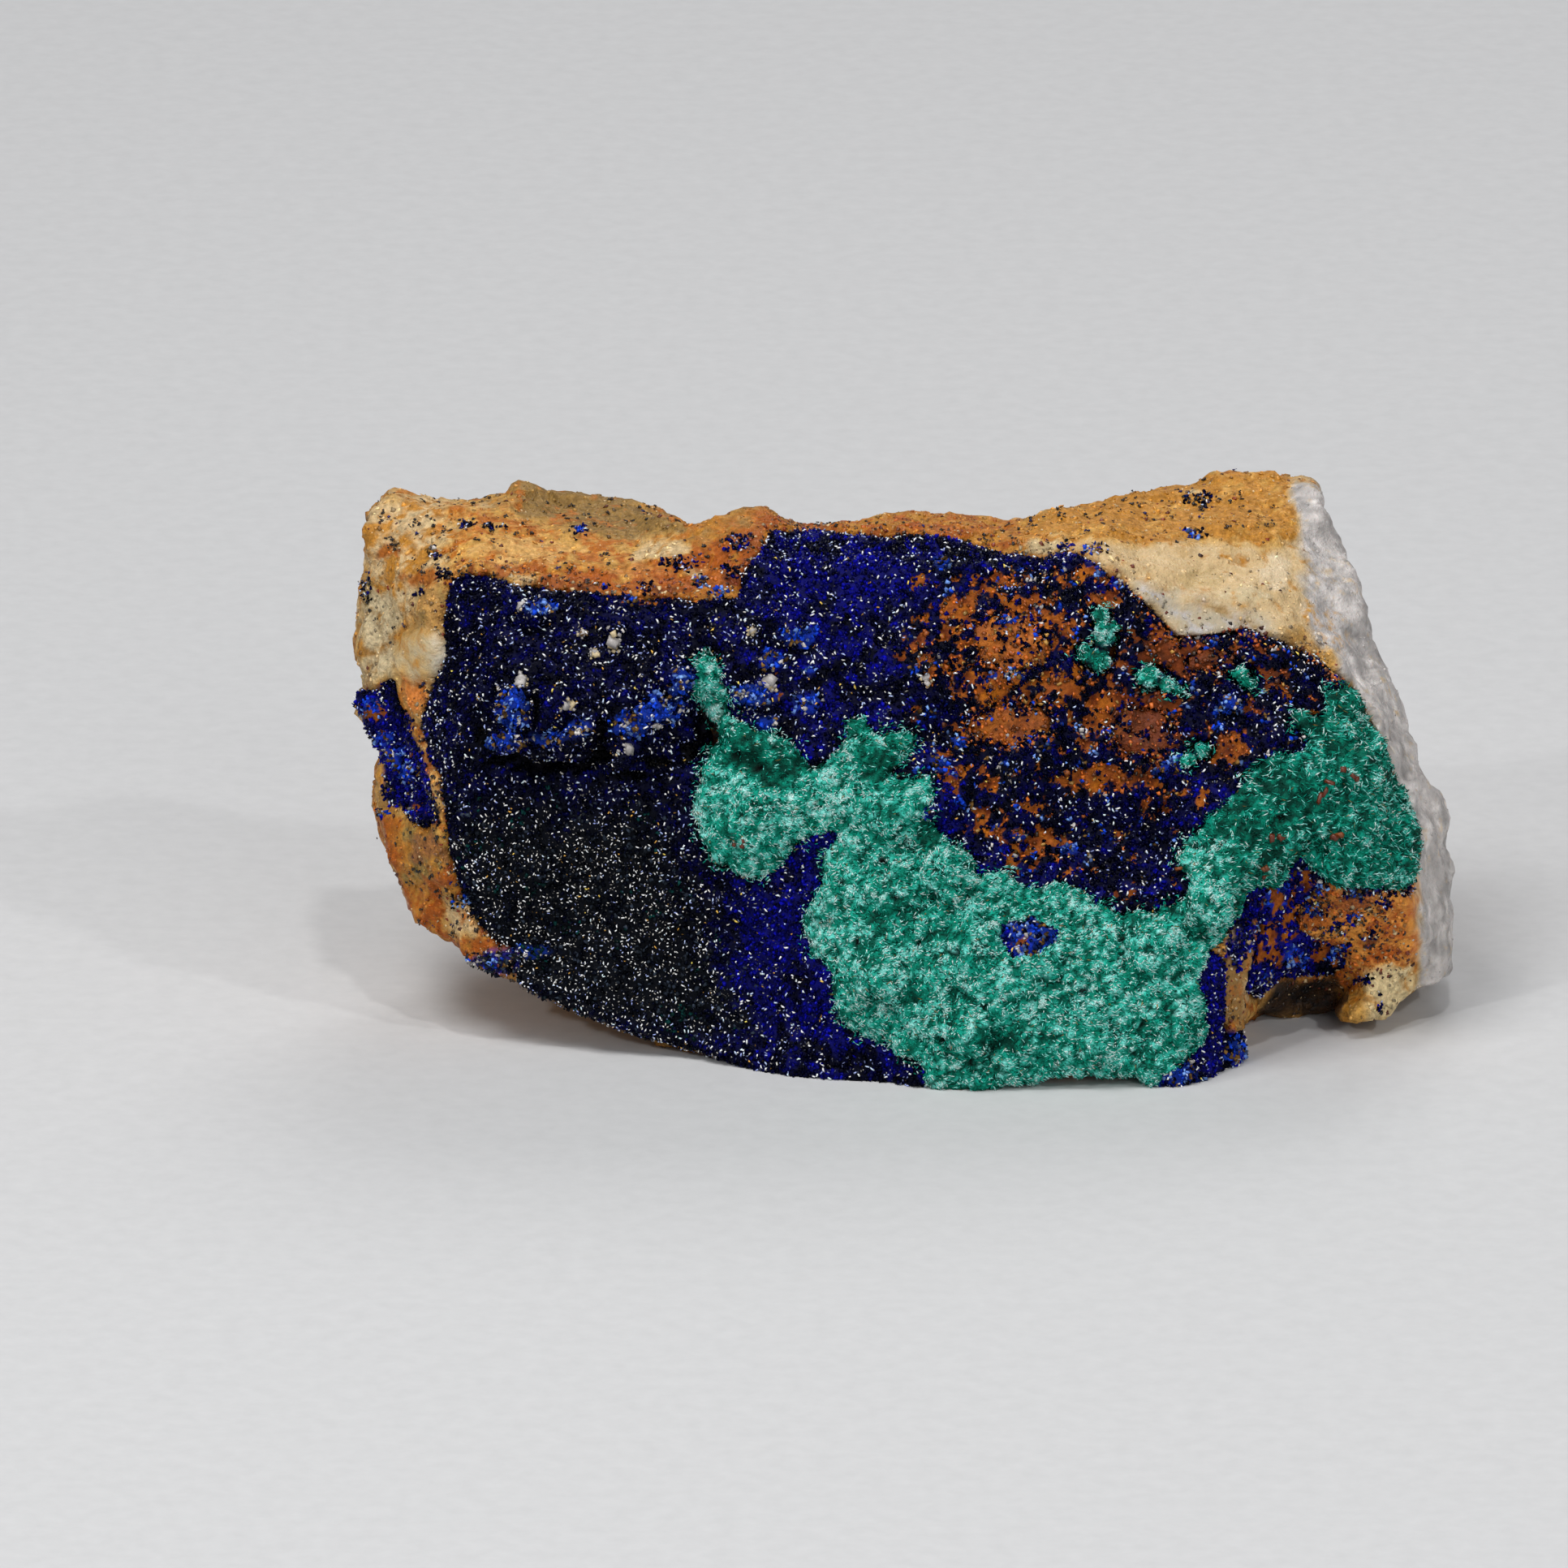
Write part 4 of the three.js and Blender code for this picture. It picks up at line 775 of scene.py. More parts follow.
def coated_share(face):
    """Share of the rock that azurite grains coat."""
    return np.max([patch(face, outline, 0.5, 0.5, 49) for outline in COATED], 0)


def hollow_painted_shade(face):
    """Share of the hollows in the azurite, where their colour is painted darker as shade."""
    return spots(face, HOLLOWS, 0.4, 67)


def rock_layers(points, face, seen, milky):
    """Colour, stain and cover of the bare rock, patch by patch."""
    white = white_share(face)
    streaks = points * STREAKED
    tone = mixed(HONEY, TAN, smooth(-0.6, 0.8, rough(points, 4.0, 41, 4, 0.7)))
    stain = mixed(GOLD, DEEP_ORANGE, smooth(-0.4, 0.9, rough(points, 3.0, 43, 4, 0.7)))
    cover = 0.25 + 0.45 * smooth(-0.5, 0.7, rough(points, 7.0, 45))
    tone = mixed(tone, CREAM, milky)
    cover = cover * (1 - 0.7 * milky)
    for number, (_, patch_tone, patch_stain, amount, soft) in enumerate(STONE_PATCHES):
        share = stone_patch(face, number, 1.3 * soft, 0.7 * soft) * (seen if number != WHITE_SIDE else 1)
        tone = mixed(tone, patch_tone, share)
        stain = mixed(stain, patch_stain, share)
        cover = cover + (amount - cover) * share
    cover = cover + (1 - white) * 0.5 * rough(points, 1.7, 46, 4, 0.75)
    cover = cover + white * 0.3 * rough(streaks, 1.2, 48, 3, 0.7)
    stained_side = white * smooth(0.1, 0.8, rough(streaks, 6.0, 42, 4, 0.6)) * (1 - seen * 0.7)
    cover = cover + (0.6 - cover) * stained_side
    stain = mixed(stain, TAN, 0.8 * stained_side)
    tone = tone * (1 - 0.25 * white * rough(streaks, 0.9, 59, 3, 0.8))[:, None]
    return tone, stain, cover


def iron_layers(face, front, tone, stain, cover):
    """Iron ore between the azurite, and the stain on the rock beside the crust."""
    edge = inside(face, CRUSTED)
    rust = front * rust_zone(face, 1.6, 0.8) * smooth(-0.5, 0.0, edge)
    rust_tone, rust_stain = rust_colours(face)
    tone = mixed(tone, rust_tone, rust)
    stain = mixed(stain, rust_stain, rust)
    cover = cover + (0.3 + 0.3 * rough(face, 0.7, 69) - cover) * rust
    patchy = rough(face, 1.3, 70, 4, 0.7)
    beside = front * (face[:, 0] < 14) * smooth(-1.3, -0.2, edge) * smooth(-0.3, 0.6, patchy)
    tone = mixed(tone, mixed(ORANGE, DEEP_ORANGE, smooth(0.2, 0.8, patchy)), 0.7 * beside)
    stain = mixed(stain, RED_BROWN, 0.8 * beside)
    return tone, stain, cover + 0.35 * beside * rough(face, 0.6, 74, 3, 0.7), rust


def nodule_layers(points, face, front, tone, stain, cover):
    """The small translucent nodule, with a pale rim on its right painted as a highlight."""
    nodule = front * spot(face, *NODULE, 0.3)
    # painted highlight: the right rim of the nodule is painted pale
    lit_rim = nodule * smooth(0.2, 1.3, face[:, 0] - NODULE[0])
    tone = mixed(tone, mixed(AMBER, PALE, smooth(-0.5, 0.5, rough(points, 0.9, 54))), nodule)
    tone = mixed(tone, RIM_HIGHLIGHT, 0.8 * lit_rim)
    stain = mixed(stain, GOLD, nodule)
    cover = cover * (1 - nodule) + nodule * (1 - lit_rim) * (0.3 + 0.3 * rough(points, 1.2, 52))
    return tone, stain, cover, nodule


def clear_share(face, seen, milky):
    """How glassy the quartz is."""
    white = white_share(face)
    clear = np.maximum(white, stone_patch(face, CLEAR_EDGE, 1.0, 0.4))
    clear = np.maximum(clear, 0.8 * stone_patch(face, CREAM_FACET, 1.0, 0.4)) * seen
    return np.maximum(0.8 * clear, np.maximum(0.7 * white, 0.6 * milky))


def stone_colours(points, normals):
    """Colour, stain, how far it is stained and how glassy it is, at each point."""
    face = to_face(points)
    seen = seen_share(normals)
    front = face_zone(normals)
    milky = smooth(0.25, 0.75, rough(points, 9.0, 44, 3))
    tone, stain, cover = rock_layers(points, face, seen, milky)
    tone, stain, cover, rust = iron_layers(face, front, tone, stain, cover)
    tone = mixed(tone, TAN, 0.6 * front * crease_share(face))
    for u, v, across, up, marked in MARKS:
        mark = front * spot(face, u, v, across, up, 0.9, 50)
        tone = mixed(tone, marked, 0.85 * mark)
        cover = cover * (1 - 0.5 * mark)
    tone, stain, cover, nodule = nodule_layers(points, face, front, tone, stain, cover)
    # painted shade: the stone in the hollows is painted black
    tone = mixed(tone, BLACK, front * hollow_painted_shade(face))
    coated = smooth(0.35, 0.65, front * coated_share(face))
    tone = mixed(tone, NAVY, coated)
    stain = mixed(stain, DEEP_BLUE, coated)
    clear = np.maximum(clear_share(face, seen, milky), nodule) * (1 - rust)
    return tone, stain, np.clip(cover, 0, 1), np.clip(clear, 0, 1)


def ball_height(face, u, v, across, up):
    """A rounded swell with a groove around it."""
    away = np.hypot((face[:, 0] - u) / across, (face[:, 1] - v) / up) + 0.08 * noise(face, 1.0, 68)
    return np.sqrt(np.maximum(1 - away**2, 0)) - 0.35 * np.exp(-(((away - 1.05) / 0.12) ** 2))


def stone_relief(mesh):
    """Broken quartz: flat chips and grit where it is stained, soft streaks on the white side."""
    points = points_of(mesh)
    normals = normals_of(mesh)
    face = to_face(points)
    streaks = points * STREAKED
    front = face_zone(normals)
    behind = 1 - seen_share(normals)
    white = white_share(face)
    clear = stone_patch(face, CLEAR_EDGE, 1.0, 0.4)
    ledges = 0.9 * facets(points, 6.5, 58) + 0.5 * facets(points, 3.1, 60)
    cracks = np.exp(-((noise(points, 7.0, 64) / 0.035) ** 2))
    grit = 0.2 * rough(points, 0.9, 55) + 0.16 * clusters(points, 0.8, 56)[0]
    height = (0.26 * facets(points, 2.6, 51) + 0.2 * facets(points, 1.2, 53)) * (1 - 0.25 * clear)
    height = height + behind * (ledges - 0.35 * cracks) * (1 - 0.5 * white) - 0.2 * white * cracks
    height = height + (1 - np.maximum(white, clear)) * grit
    height = height + white * (0.4 * facets(points, 3.4, 61) + 0.08 * facets(streaks, 1.2, 62))
    height = height + white * 0.1 * rough(streaks, 1.3, 57) - 0.25 * front * crease_share(face)
    grain, _ = grains_of(face)
    wall = smooth(0.8, 0.3, normals @ FACE_W)
    height = height + front * opening_share(face) * (0.28 * wall + (1 - wall) * (0.2 * grain - 0.1))
    for ball, rise in ((NODULE, 0.55), (CAP, 0.35)):
        height = height + rise * front * ball_height(face, *ball)
    push(mesh, height)


# Materials

GRAIN_RANGE = (0.3, 0.7)  # what a noise node gives, nearly always
GLOW_DEPTH = 0.6
CRYSTAL_BUMP = 0.01


def shader(name):
    """An empty node material: its node tree and its surface shader."""
    material = bpy.data.materials.new(name)
    material.use_nodes = True
    tree = material.node_tree
    return material, tree, tree.nodes["Principled BSDF"]


def plug(tree, made, inputs):
    """Gives each input a value, or links it to a socket. A key is a name, or a number as in i0."""
    for key, value in inputs.items():
        numbered = key[0] == "i" and key[1:].isdigit()
        socket = made.inputs[int(key[1:]) if numbered else key]
        if isinstance(value, bpy.types.NodeSocket):
            tree.links.new(value, socket)
        else:
            socket.default_value = value


def node(tree, kind, **inputs):
    made = tree.nodes.new(kind)
    plug(tree, made, inputs)
    return made


def attribute(tree, name, output="Color"):
    made = tree.nodes.new("ShaderNodeAttribute")
    made.attribute_name = name
    return made.outputs[output]


def grain_of(tree, size, detail=3.0):
    """Noise with features of a size in mm, in the piece's own space."""
    where = tree.nodes.new("ShaderNodeTexCoord").outputs["Object"]
    scale = 1 / (size * MM)
    made = node(tree, "ShaderNodeTexNoise", Vector=where, Scale=scale, Detail=detail, Roughness=0.6)
    return made.outputs["Fac"]


def calc(tree, operation, a, b):
    made = node(tree, "ShaderNodeMath", i0=a, i1=b)
    made.operation = operation
    return made.outputs[0]


def ranged(tree, value, low, high, to_low, to_high):
    return node(tree, "ShaderNodeMapRange", i0=value, i1=low, i2=high, i3=to_low, i4=to_high).outputs[0]


def blended(tree, kind, share, a, b):
    """Two colours mixed."""
    made = tree.nodes.new("ShaderNodeMix")
    made.data_type = "RGBA"
    made.blend_type = kind
    plug(tree, made, {"i0": share, "i6": a, "i7": b})
    return made.outputs[2]


def grey(tree, value):
    return node(tree, "ShaderNodeCombineColor", i0=value, i1=value, i2=value).outputs[0]


def mottled(name, edge, ragged, shade, bumps, finish, specular, soft, glow, contrast):
    """Tone and stain mixed with a ragged edge, a fine light and dark grain, bumps and gloss.

    edge and shade are grain sizes in mm, bumps a list of (size, height), finish two roughnesses.
    Where the piece has polish it is plainer and smoother.
    """
    material, tree, surface = shader(name)
    plain = attribute(tree, "polish", "Fac")
    uneven = calc(tree, "MULTIPLY", calc(tree, "SUBTRACT", grain_of(tree, edge), 0.5), ragged)
    share = calc(tree, "ADD", attribute(tree, "cover", "Fac"), uneven)
    share = ranged(tree, share, 0.5 - soft, 0.5 + soft, 0.0, 1.0)
    base = blended(tree, "MIX", share, attribute(tree, "tone"), attribute(tree, "stain"))
    grain = grain_of(tree, shade)
    value = ranged(tree, grain, *GRAIN_RANGE, *contrast)
    evened = calc(tree, "MULTIPLY", plain, calc(tree, "SUBTRACT", 0.98, value))
    gloss = ranged(tree, grain, *GRAIN_RANGE, finish[1], finish[0])
    strength = ranged(tree, plain, 0.0, 1.0, 1.0, 0.7)
    bumped = {}
    for size, height in bumps:
        made = node(tree, "ShaderNodeBump", Height=grain_of(tree, size, 2.0), Strength=strength,
                    Distance=height * MM, **bumped)
        bumped = {"Normal": made.outputs["Normal"]}
    plug(tree, surface, {
        "Base Color": blended(tree, "MULTIPLY", 1.0, base, grey(tree, calc(tree, "ADD", value, evened))),
        "Roughness": calc(tree, "SUBTRACT", gloss, calc(tree, "MULTIPLY", plain, 0.22)),
        "Specular IOR Level": specular,
        "Subsurface Weight": glow,
        "Subsurface Scale": GLOW_DEPTH * MM,
        **bumped,
    })
    return material


def crystalline(name, finish, specular, shade=0.08):
    """Small crystals, each with its own colour, with a little unevenness on their faces."""
    material, tree, surface = shader(name)
    grain = grain_of(tree, shade, 2.0)
    tint = grey(tree, ranged(tree, grain, *GRAIN_RANGE, 0.8, 1.15))
    made = node(tree, "ShaderNodeBump", Height=grain, Strength=1.0, Distance=CRYSTAL_BUMP * MM)
    plug(tree, surface, {
        "Base Color": blended(tree, "MULTIPLY", 1.0, attribute(tree, "tone"), tint),
        "Roughness": ranged(tree, grain, *GRAIN_RANGE, finish[1], finish[0]),
        "Specular IOR Level": specular,
        "Normal": made.outputs["Normal"],
    })
    return material


STONE = mottled(
    "stone", edge=0.7, ragged=1.3, shade=0.4, bumps=[(0.5, 0.2), (0.2, 0.1)], finish=(0.4, 0.75),
    specular=0.25, soft=0.2, glow=0.05, contrast=(0.55, 1.27),
)
CRUST = mottled(
    "azurite_crust", edge=0.3, ragged=0.9, shade=0.2, bumps=[(0.35, 0.10), (0.12, 0.05)],
    finish=(0.4, 0.7), specular=0.08, soft=0.12, glow=0.0, contrast=(0.6, 1.22),
)
FELT = mottled(
    "malachite_felt", edge=0.22, ragged=1.4, shade=0.1, bumps=[(0.3, 0.12), (0.1, 0.06)],
    finish=(0.5, 0.8), specular=0.1, soft=0.12, glow=0.0, contrast=(0.55, 1.3),
)
AZURITE = crystalline("azurite_crystals", (0.1, 0.25), 0.05)
MALACHITE = crystalline("malachite_blades", (0.3, 0.5), 0.15, 0.05)
GRAINS = crystalline("mineral_grains", (0.25, 0.5), 0.5)


# The stone

def stone():
    obj = twin("quartz_matrix", "stone", STONE_VOXEL, STONE_SWELL)
    stone_relief(obj.data)
    paint(obj.data, *stone_colours(points_of(obj.data), normals_of(obj.data)))
    return show(obj, STONE, "quartz_matrix", "quartz_matrix")


# Azurite

def blue_level(face):
    """How blue the azurite is, in small patches."""
    _, cell = clusters(face * FLAT, 0.75, 68)
    level = smooth(0.25, 1.15, cell + 0.55 * rough(face, 1.8, 62, 2) + 0.1)
    level = level * (0.45 + 0.55 * smooth(-14, -7, face[:, 0])) * (1 - 0.5 * rust_zone(face, 3.0, 1.4))
    return level * (1 - 0.85 * dull_share(face))


def azurite_tone(face):
    """Colour of the crust under the crystals."""
    tone = mixed(NAVY, DEEP_BLUE, 0.75 * blue_level(face))
    tone = mixed(tone, DULL_NAVY, dull_share(face))
    dabs = ((BLUE_FIELDS, DEEP_BLUE, 0.5, 0.9, 63), (BRIGHT, ROYAL, 0.6, 0.5, 65))
    for places, new, amount, ragged, seed in dabs:
        for u, v, across, up in places:
            tone = mixed(tone, new, amount * spot(face, u, v, across, up, ragged, seed))
    # painted shade: the crust is darkened in the hollows
    return tone * (1 - 0.8 * hollow_painted_shade(face))[:, None]


def azurite_crust(node_name, name, voxel=PATCH_VOXEL):
    """The crust under the crystals, with iron ore between its grains in the open part."""
    obj = twin(node_name, name, voxel, AZURITE_SWELL)
    points = points_of(obj.data)
    face = to_face(points)
    grain, _ = grains_of(face)
    height = 0.16 * rough(points, 1.9, 71, 2) + 0.12 * rough(points, 0.8, 91, 2) + 0.22 * (grain - 1)
    for u, v, across, up, depth in HOLLOWS:
        height = height - depth * spot(face, u, v, across, up, 0.4, 67)
    for u, v, across, up in BRIGHT:
        height = height + 0.5 * min(across, up) * spot(face, u, v, across, up, 0.7, 65)
    push(obj.data, height)
    tone, stain = rust_colours(face)
    rust = mixed(tone, stain, smooth(-0.2, 0.6, rough(face, 0.7, 69)))
    paint(obj.data, azurite_tone(face), rust, 0.85 - 0.75 * grain)
    return show(obj, CRUST, "azurite", node_name)


def crystal_tones(face, pale):
    """Colour of each crystal: most nearly black or deep blue, painted near white as glints where pale is
    above 0.
    """
    n = len(face)
    dull = dull_share(face)
    _, number = grains_of(face)
    open_part = smooth(0.05, 0.2, open_share(face))
    blue = np.maximum(blue_level(face), 0.85 * field_share(face))
    blue = np.clip(blue + random.uniform(-0.25, 0.25, n) * (1 - dull), 0, 1)
    tone = mixed(mixed(NAVY, DULL_NAVY, dull), DEEP_BLUE, blue) * random.uniform(0.3, 1.5, n)[:, None]
    _, speck = clusters(face * FLAT, 0.45, 66)
    speck = np.clip(speck + random.uniform(-0.15, 0.15, n), 0, 1)
    bright = np.maximum(bright_share(face), open_part * smooth(0.82, 0.88, number) * 0.9)
    lit = random.random(n) < bright
    for low, high, new, dark, pure in LIT_TONES:
        tone = painted(tone, lit & (speck > low) & (speck < high), new, dark, pure)
    tone = painted(tone, random.random(n) < 0.4 * dull, DULL_GREY, 0.3, 1.2)
    greenish = dull * smooth(0.1, 0.6, noise(face, 2.5, 104))
    tone = painted(tone, random.random(n) < 0.6 * greenish, DULL_GREEN, 0.3, 1.2)
    # colours of the painted glints
    draw = random.random(n)
    tint = painted(rows(GLINT_WHITE, n), draw < 0.6 - 0.35 * dull, ICE, 1, 1)
    tint = painted(tint, draw > 0.95 - 0.1 * open_part, HONEY, 1, 1)
    tone = np.where(pale[:, None] > 0, tint * (0.3 + 1.2 * pale)[:, None], tone)
    # painted shade: the crystals in the hollows are darkened
    return np.clip(tone * (1 - 0.9 * hollow_painted_shade(face))[:, None], 0, 255)


def bridging(face, amount):
    """Crystals for each mm2 that bridge the rims of the openings."""
    return amount * rim_share(face) * smooth(-0.1, 0.2, noise(face, 1.1, 88))


def crystals_on_crust(face, normals):
    grain, _ = grains_of(face)
    return facing(normals) * (CRYSTALS * (0.05 + 0.95 * grain) + bridging(face, 11))


def crystals_on_stone(face, normals):
    grain, _ = grains_of(face)
    coated = CRYSTALS * smooth(0.2, 0.5, coated_share(face))
    amount = np.maximum(CRYSTALS * grain * opening_share(face), coated) + bridging(face, 9)
    return np.maximum(amount, CLUMP_CRYSTALS * spots(face, CLUMPS, 0.9, 84)) * face_zone(normals)


def azurite_crystals(crusts, stone_piece):
    """Tens of thousands of tiny crystals that stand on the crusts and on coated rock, some of them painted
    near white as glints.
    """
    found = [scatter(crust, crystals_on_crust) for crust in crusts]
    points, normals = gathered(found + [scatter(stone_piece, crystals_on_stone)])
    face = to_face(points)
    n = len(points)
    dull = dull_share(face)
    together = 0.25 + 1.5 * smooth(-0.5, 0.6, rough(face, 1.0, 86, 2))
    open_part = smooth(0.05, 0.2, open_share(face))
    # painted glints: some tiny crystals, in groups, are painted near white
    glinting = random.random(n) < (0.38 + 0.3 * dull) * together * (1 - 0.4 * open_part)
    blue = np.maximum(bright_share(face), 0.5 * field_share(face))
    glinting = glinting & (random.random(n) > 0.75 * blue)
    pale = np.where(glinting, random.random(n) ** 2.0 + 0.01, 0)
    width = np.where(glinting, (0.026 + 0.026 * pale) * (1 - 0.25 * dull), random.uniform(0.08, 0.16, n))
    breadth = width * np.where(glinting, random.uniform(1.5, 3.6, n), random.uniform(0.55, 1.1, n))
    sizes = np.stack([width, breadth, np.where(glinting, width * 2, random.uniform(0.16, 0.36, n))], 1)
    centres = points + normals * np.where(glinting, 0.12, -0.05)[:, None]
    axes = leaning(normals, 0.5)
    tones = crystal_tones(face, pale)
    halves("azurite_crystals", face, ROOF, centres, axes, sizes, tones, AZURITE, "azurite")


# Malachite

def malachite_lumps(face):
    """Rounded lumps of the malachite, from about -0.5 to 0.5."""
    broad = clusters(face * FLAT, 1.35, 91)[0] - 0.62
    fine = clusters(face * FLAT, 0.62, 93)[0] - 0.62
    return 0.38 * broad + 0.24 * fine + 0.16 * rough(face, 1.9, 95, 2)


def malachite_grains(face):
    """Its smallest grains: nearness to the middle of one, and its number."""
    return clusters(face * FLAT, 0.36, 96)


def recess_shade_share(face):
    """How far it lies in its dark green recesses, whose colour is painted darker as shade."""
    return spots(face, SHADED_RECESSES, 0.7, 92, lambda amount: amount)


def pit_share(face):
    """Share of the pits in it."""
    return spots(face, [(u, v, 0.26, 0.24) for u, v in PITS], 0.2, 94)


def tuft_share(face):
    """Share of the small balls that make up the separate tufts."""
    return spots(face, [(u, v, radius, radius) for u, v, radius in TUFT_BALLS], 0.3, 89)


def malachite_level(face):
    """How light the malachite is: its grains differ, and its lumps are lighter than the gaps, which is
    painted shade in the gaps; its recesses are painted darker as shade too.
    """
    fine, number = malachite_grains(face)
    _, broad = clusters(face * FLAT, 0.75, 97)
    lobe = smooth(-3, -6, face[:, 0]) * smooth(-4, -2, face[:, 1])
    level = 0.47 + 0.8 * (number - 0.5) + 0.25 * (broad - 0.5) + 0.3 * (fine - 0.6) + 0.1 * lobe
    # painted shade: lighter on the lumps, darker in the gaps between them and in the recesses
    return level + 0.4 * malachite_lumps(face) - 0.65 * recess_shade_share(face) - 0.18 * right_share(face)


def malachite_crust(node_name, name, voxel=TUFT_VOXEL, swell=TUFT_SWELL):
    """The felt under the laths. The tufts shrink back between the balls that they are made of."""
    obj = twin(node_name, name, voxel, swell)
    face = to_face(points_of(obj.data))
    lumps = malachite_lumps(face)
    pits = pit_share(face)
    gap = (1 - tuft_share(face)) * (node_name != "malachite_crust")
    grain = malachite_grains(face)[0] - 0.6
    height = (1.2 * lumps + 0.25 * grain) * (1 - gap) - 0.5 * pits - 0.3 * recess_shade_share(face) - 0.45 * gap
    push(obj.data, height)
    tone = ramp(0.85 * malachite_level(face), MALACHITE_STEPS, MALACHITE_COLOURS)
    # painted shade: the pits are painted black, in tone and in stain
    tone = mixed(mixed(tone, BLACK, pits), azurite_tone(face), gap)
    stain = mixed(mixed(rows(DARK_GREEN, len(face)), BLACK, pits), RED_BROWN, gap)
    # painted shade: more of the dark green stain in the low places between the lumps
    paint(obj.data, tone, stain, 0.3 + 0.3 * smooth(0.1, -0.25, lumps))
    return show(obj, FELT, "malachite", node_name)


def near_share(points, crusts, reach):
    """How near each point is to some pieces, 1 at them and 0 beyond reach."""
    others = np.concatenate([points_of(crust.data) for crust in crusts])
    tree = KDTree(len(others))
    for number, place in enumerate(others):
        tree.insert(place, number)
    tree.balance()
    return 1 - np.minimum(np.array([tree.find(p)[2] for p in points]) / reach, 1)


def fringe(azurite, crusts):
    """Places for laths on the azurite, close beside the malachite."""
    points, normals = scatter(azurite, lambda f, n: FRINGE_LATHS * facing(n))
    near = near_share(points, crusts, 1.0)
    kept = random.random(len(points)) < smooth(0.5, 0.95, near + 0.6 * rough(to_face(points), 0.9, 99, 2))
    kept = kept & (near > 0.1)
    return points[kept] + 0.15 * normals[kept], normals[kept]


def matted(face, normals):
    """Laths for each mm2 of the malachite."""
    return (12 + 38 * smooth(0.2, 0.7, malachite_level(face))) * facing(normals) * (1 - pit_share(face))


def malachite_blades(crusts, azurite):
    """Short laths that lie matted on the malachite, with a ragged fringe on the azurite beside it."""
    found = [scatter(crusts[0], matted)]
    found += [scatter(tuft, lambda f, n: matted(f, n) * tuft_share(f)) for tuft in crusts[1:]]
    points, normals = gathered(found + [fringe(azurite, crusts)])
    n = len(points)
    along = FACE_U + 0.7 * random.normal(size=(n, 3))
    along = unit(along - (along * normals).sum(1)[:, None] * normals)
    axes = unit(along + random.uniform(0.1, 0.9, n)[:, None] * normals)
    face = to_face(points)
    level = 0.22 + 0.8 * malachite_level(face) + 0.3 * random.normal(size=n)
    level = level - 0.42 * (random.random(n) < 0.2)
    tones = ramp(level, MALACHITE_STEPS, MALACHITE_COLOURS)
    tones = mixed(tones, TAN, 0.8 * (random.random(n) > 0.985))
    wide = random.uniform(0.035, 0.07, n)
    long = random.uniform(0.18, 0.4, n) * (1 + 0.4 * right_share(face))
    sizes = np.stack([wide, wide * 0.8, long], 1)
    centres = points - axes * 0.3 * long[:, None] + normals * 0.02
    halves("malachite_blades", face, SPLINTER, centres, axes, sizes, tones, MALACHITE, "malachite")


# Bits that are placed one by one

def surface_of(piece):
    """Points of a crust's surface, their normals, and the points in the face frame."""
    points = points_of(piece.data)
    return points, normals_of(piece.data), to_face(points)


def raised(surface, u, v, lift):
    """The point of a crust seen in front at a place on the face, raised by lift, and its normal."""
    points, normals, face = surface
    away = np.hypot(face[:, 0] - u, face[:, 1] - v) + 9 * (normals @ FACE_W < 0)
    nearest = np.argmin(away)
    return points[nearest] + normals[nearest] * lift, normals[nearest]


def iron_flecks(crust):
    """Broken flecks of iron ore caught in the malachite, each of three chips in a row."""
    surface = surface_of(crust)
    bits = []
    for u, v, length, width, turn in FLECKS:
        turn = math.radians(turn)
        across = np.array([max(width, 0.4 * length), width, 0.18])
        for step in (-0.6, 0.0, 0.6):
            u_there = u + step * length * math.cos(turn)
            v_there = v + step * length * math.sin(turn)
            place = raised(surface, u_there, v_there, 0.3)
            bits.append((*place, across * random.uniform(0.6, 1.05, 3)))
    places, axes, sizes = (np.array(part) for part in zip(*bits))
    n = len(bits)
    tones = painted(rows(RED_BROWN, n), random.random(n) < 0.4, RUST, 0.6, 0.9)
    joined("iron_flecks", GRAIN, places, leaning(axes, 0.4), sizes, tones, GRAINS, "quartz_matrix")


def quartz_bits(crust):
    """Broken bits of pale quartz that stand in the azurite, each of three flakes and many chips."""
    surface = surface_of(crust)
    flakes, chips = 3, 15
    bits = []
    for u, v, across, up in PALE_BITS:
        small = min(across, up)
        for k in range(flakes + chips):
            turn = random.uniform(0, 2 * math.pi)
            out = (k - 1) * 0.3 if k < flakes else math.sqrt(random.uniform(0, 1.1))
            turn = turn if k >= flakes else math.pi / 2 * (up > across)
            u_there = u + out * across * math.cos(turn)
            v_there = v + out * up * math.sin(turn)
            place = raised(surface, u_there, v_there, random.uniform(0.0, 0.15))
            scale = 0.75 * small if k < flakes else 0.16 * small + 0.05
            bits.append((*place, scale * random.uniform(0.6, 1.4, 3)))
    places, axes, sizes = (np.array(part) for part in zip(*bits))
    n = len(bits)
    tones = painted(rows(PALE, n), random.random(n) < 0.6, GREY_QUARTZ, 0.75, 1.15)
    tones = painted(tones, random.random(n) < 0.12, TAN, 0.6, 1.0)
    joined("quartz_bits", GRAIN, places, leaning(axes, 0.5), sizes, tones, GRAINS, "quartz_matrix")


# Grains and chips on the stone

def dark_amount(face, normals):
    edge = inside(face, CRUSTED)
    total = np.maximum(0.05, spots(face, SPECK_CLUSTERS, 0.6, 101, lambda amount: amount))
    beside = smooth(-1.4, -0.2, edge) * (0.6 + 0.8 * (face[:, 0] < 12))
    total = np.maximum(total, 2.0 * beside * smooth(-0.2, 0.4, noise(face, 1.4, 102)))
    open_stone = (1 - rust_zone(face)) * (1 - white_share(face))
    open_stone = open_stone * (1 - spot(face, *NODULE, 0.1)) * (edge < 0)
    return 0.9 * total * face_zone(normals + 0.25 * FACE_V) * open_stone


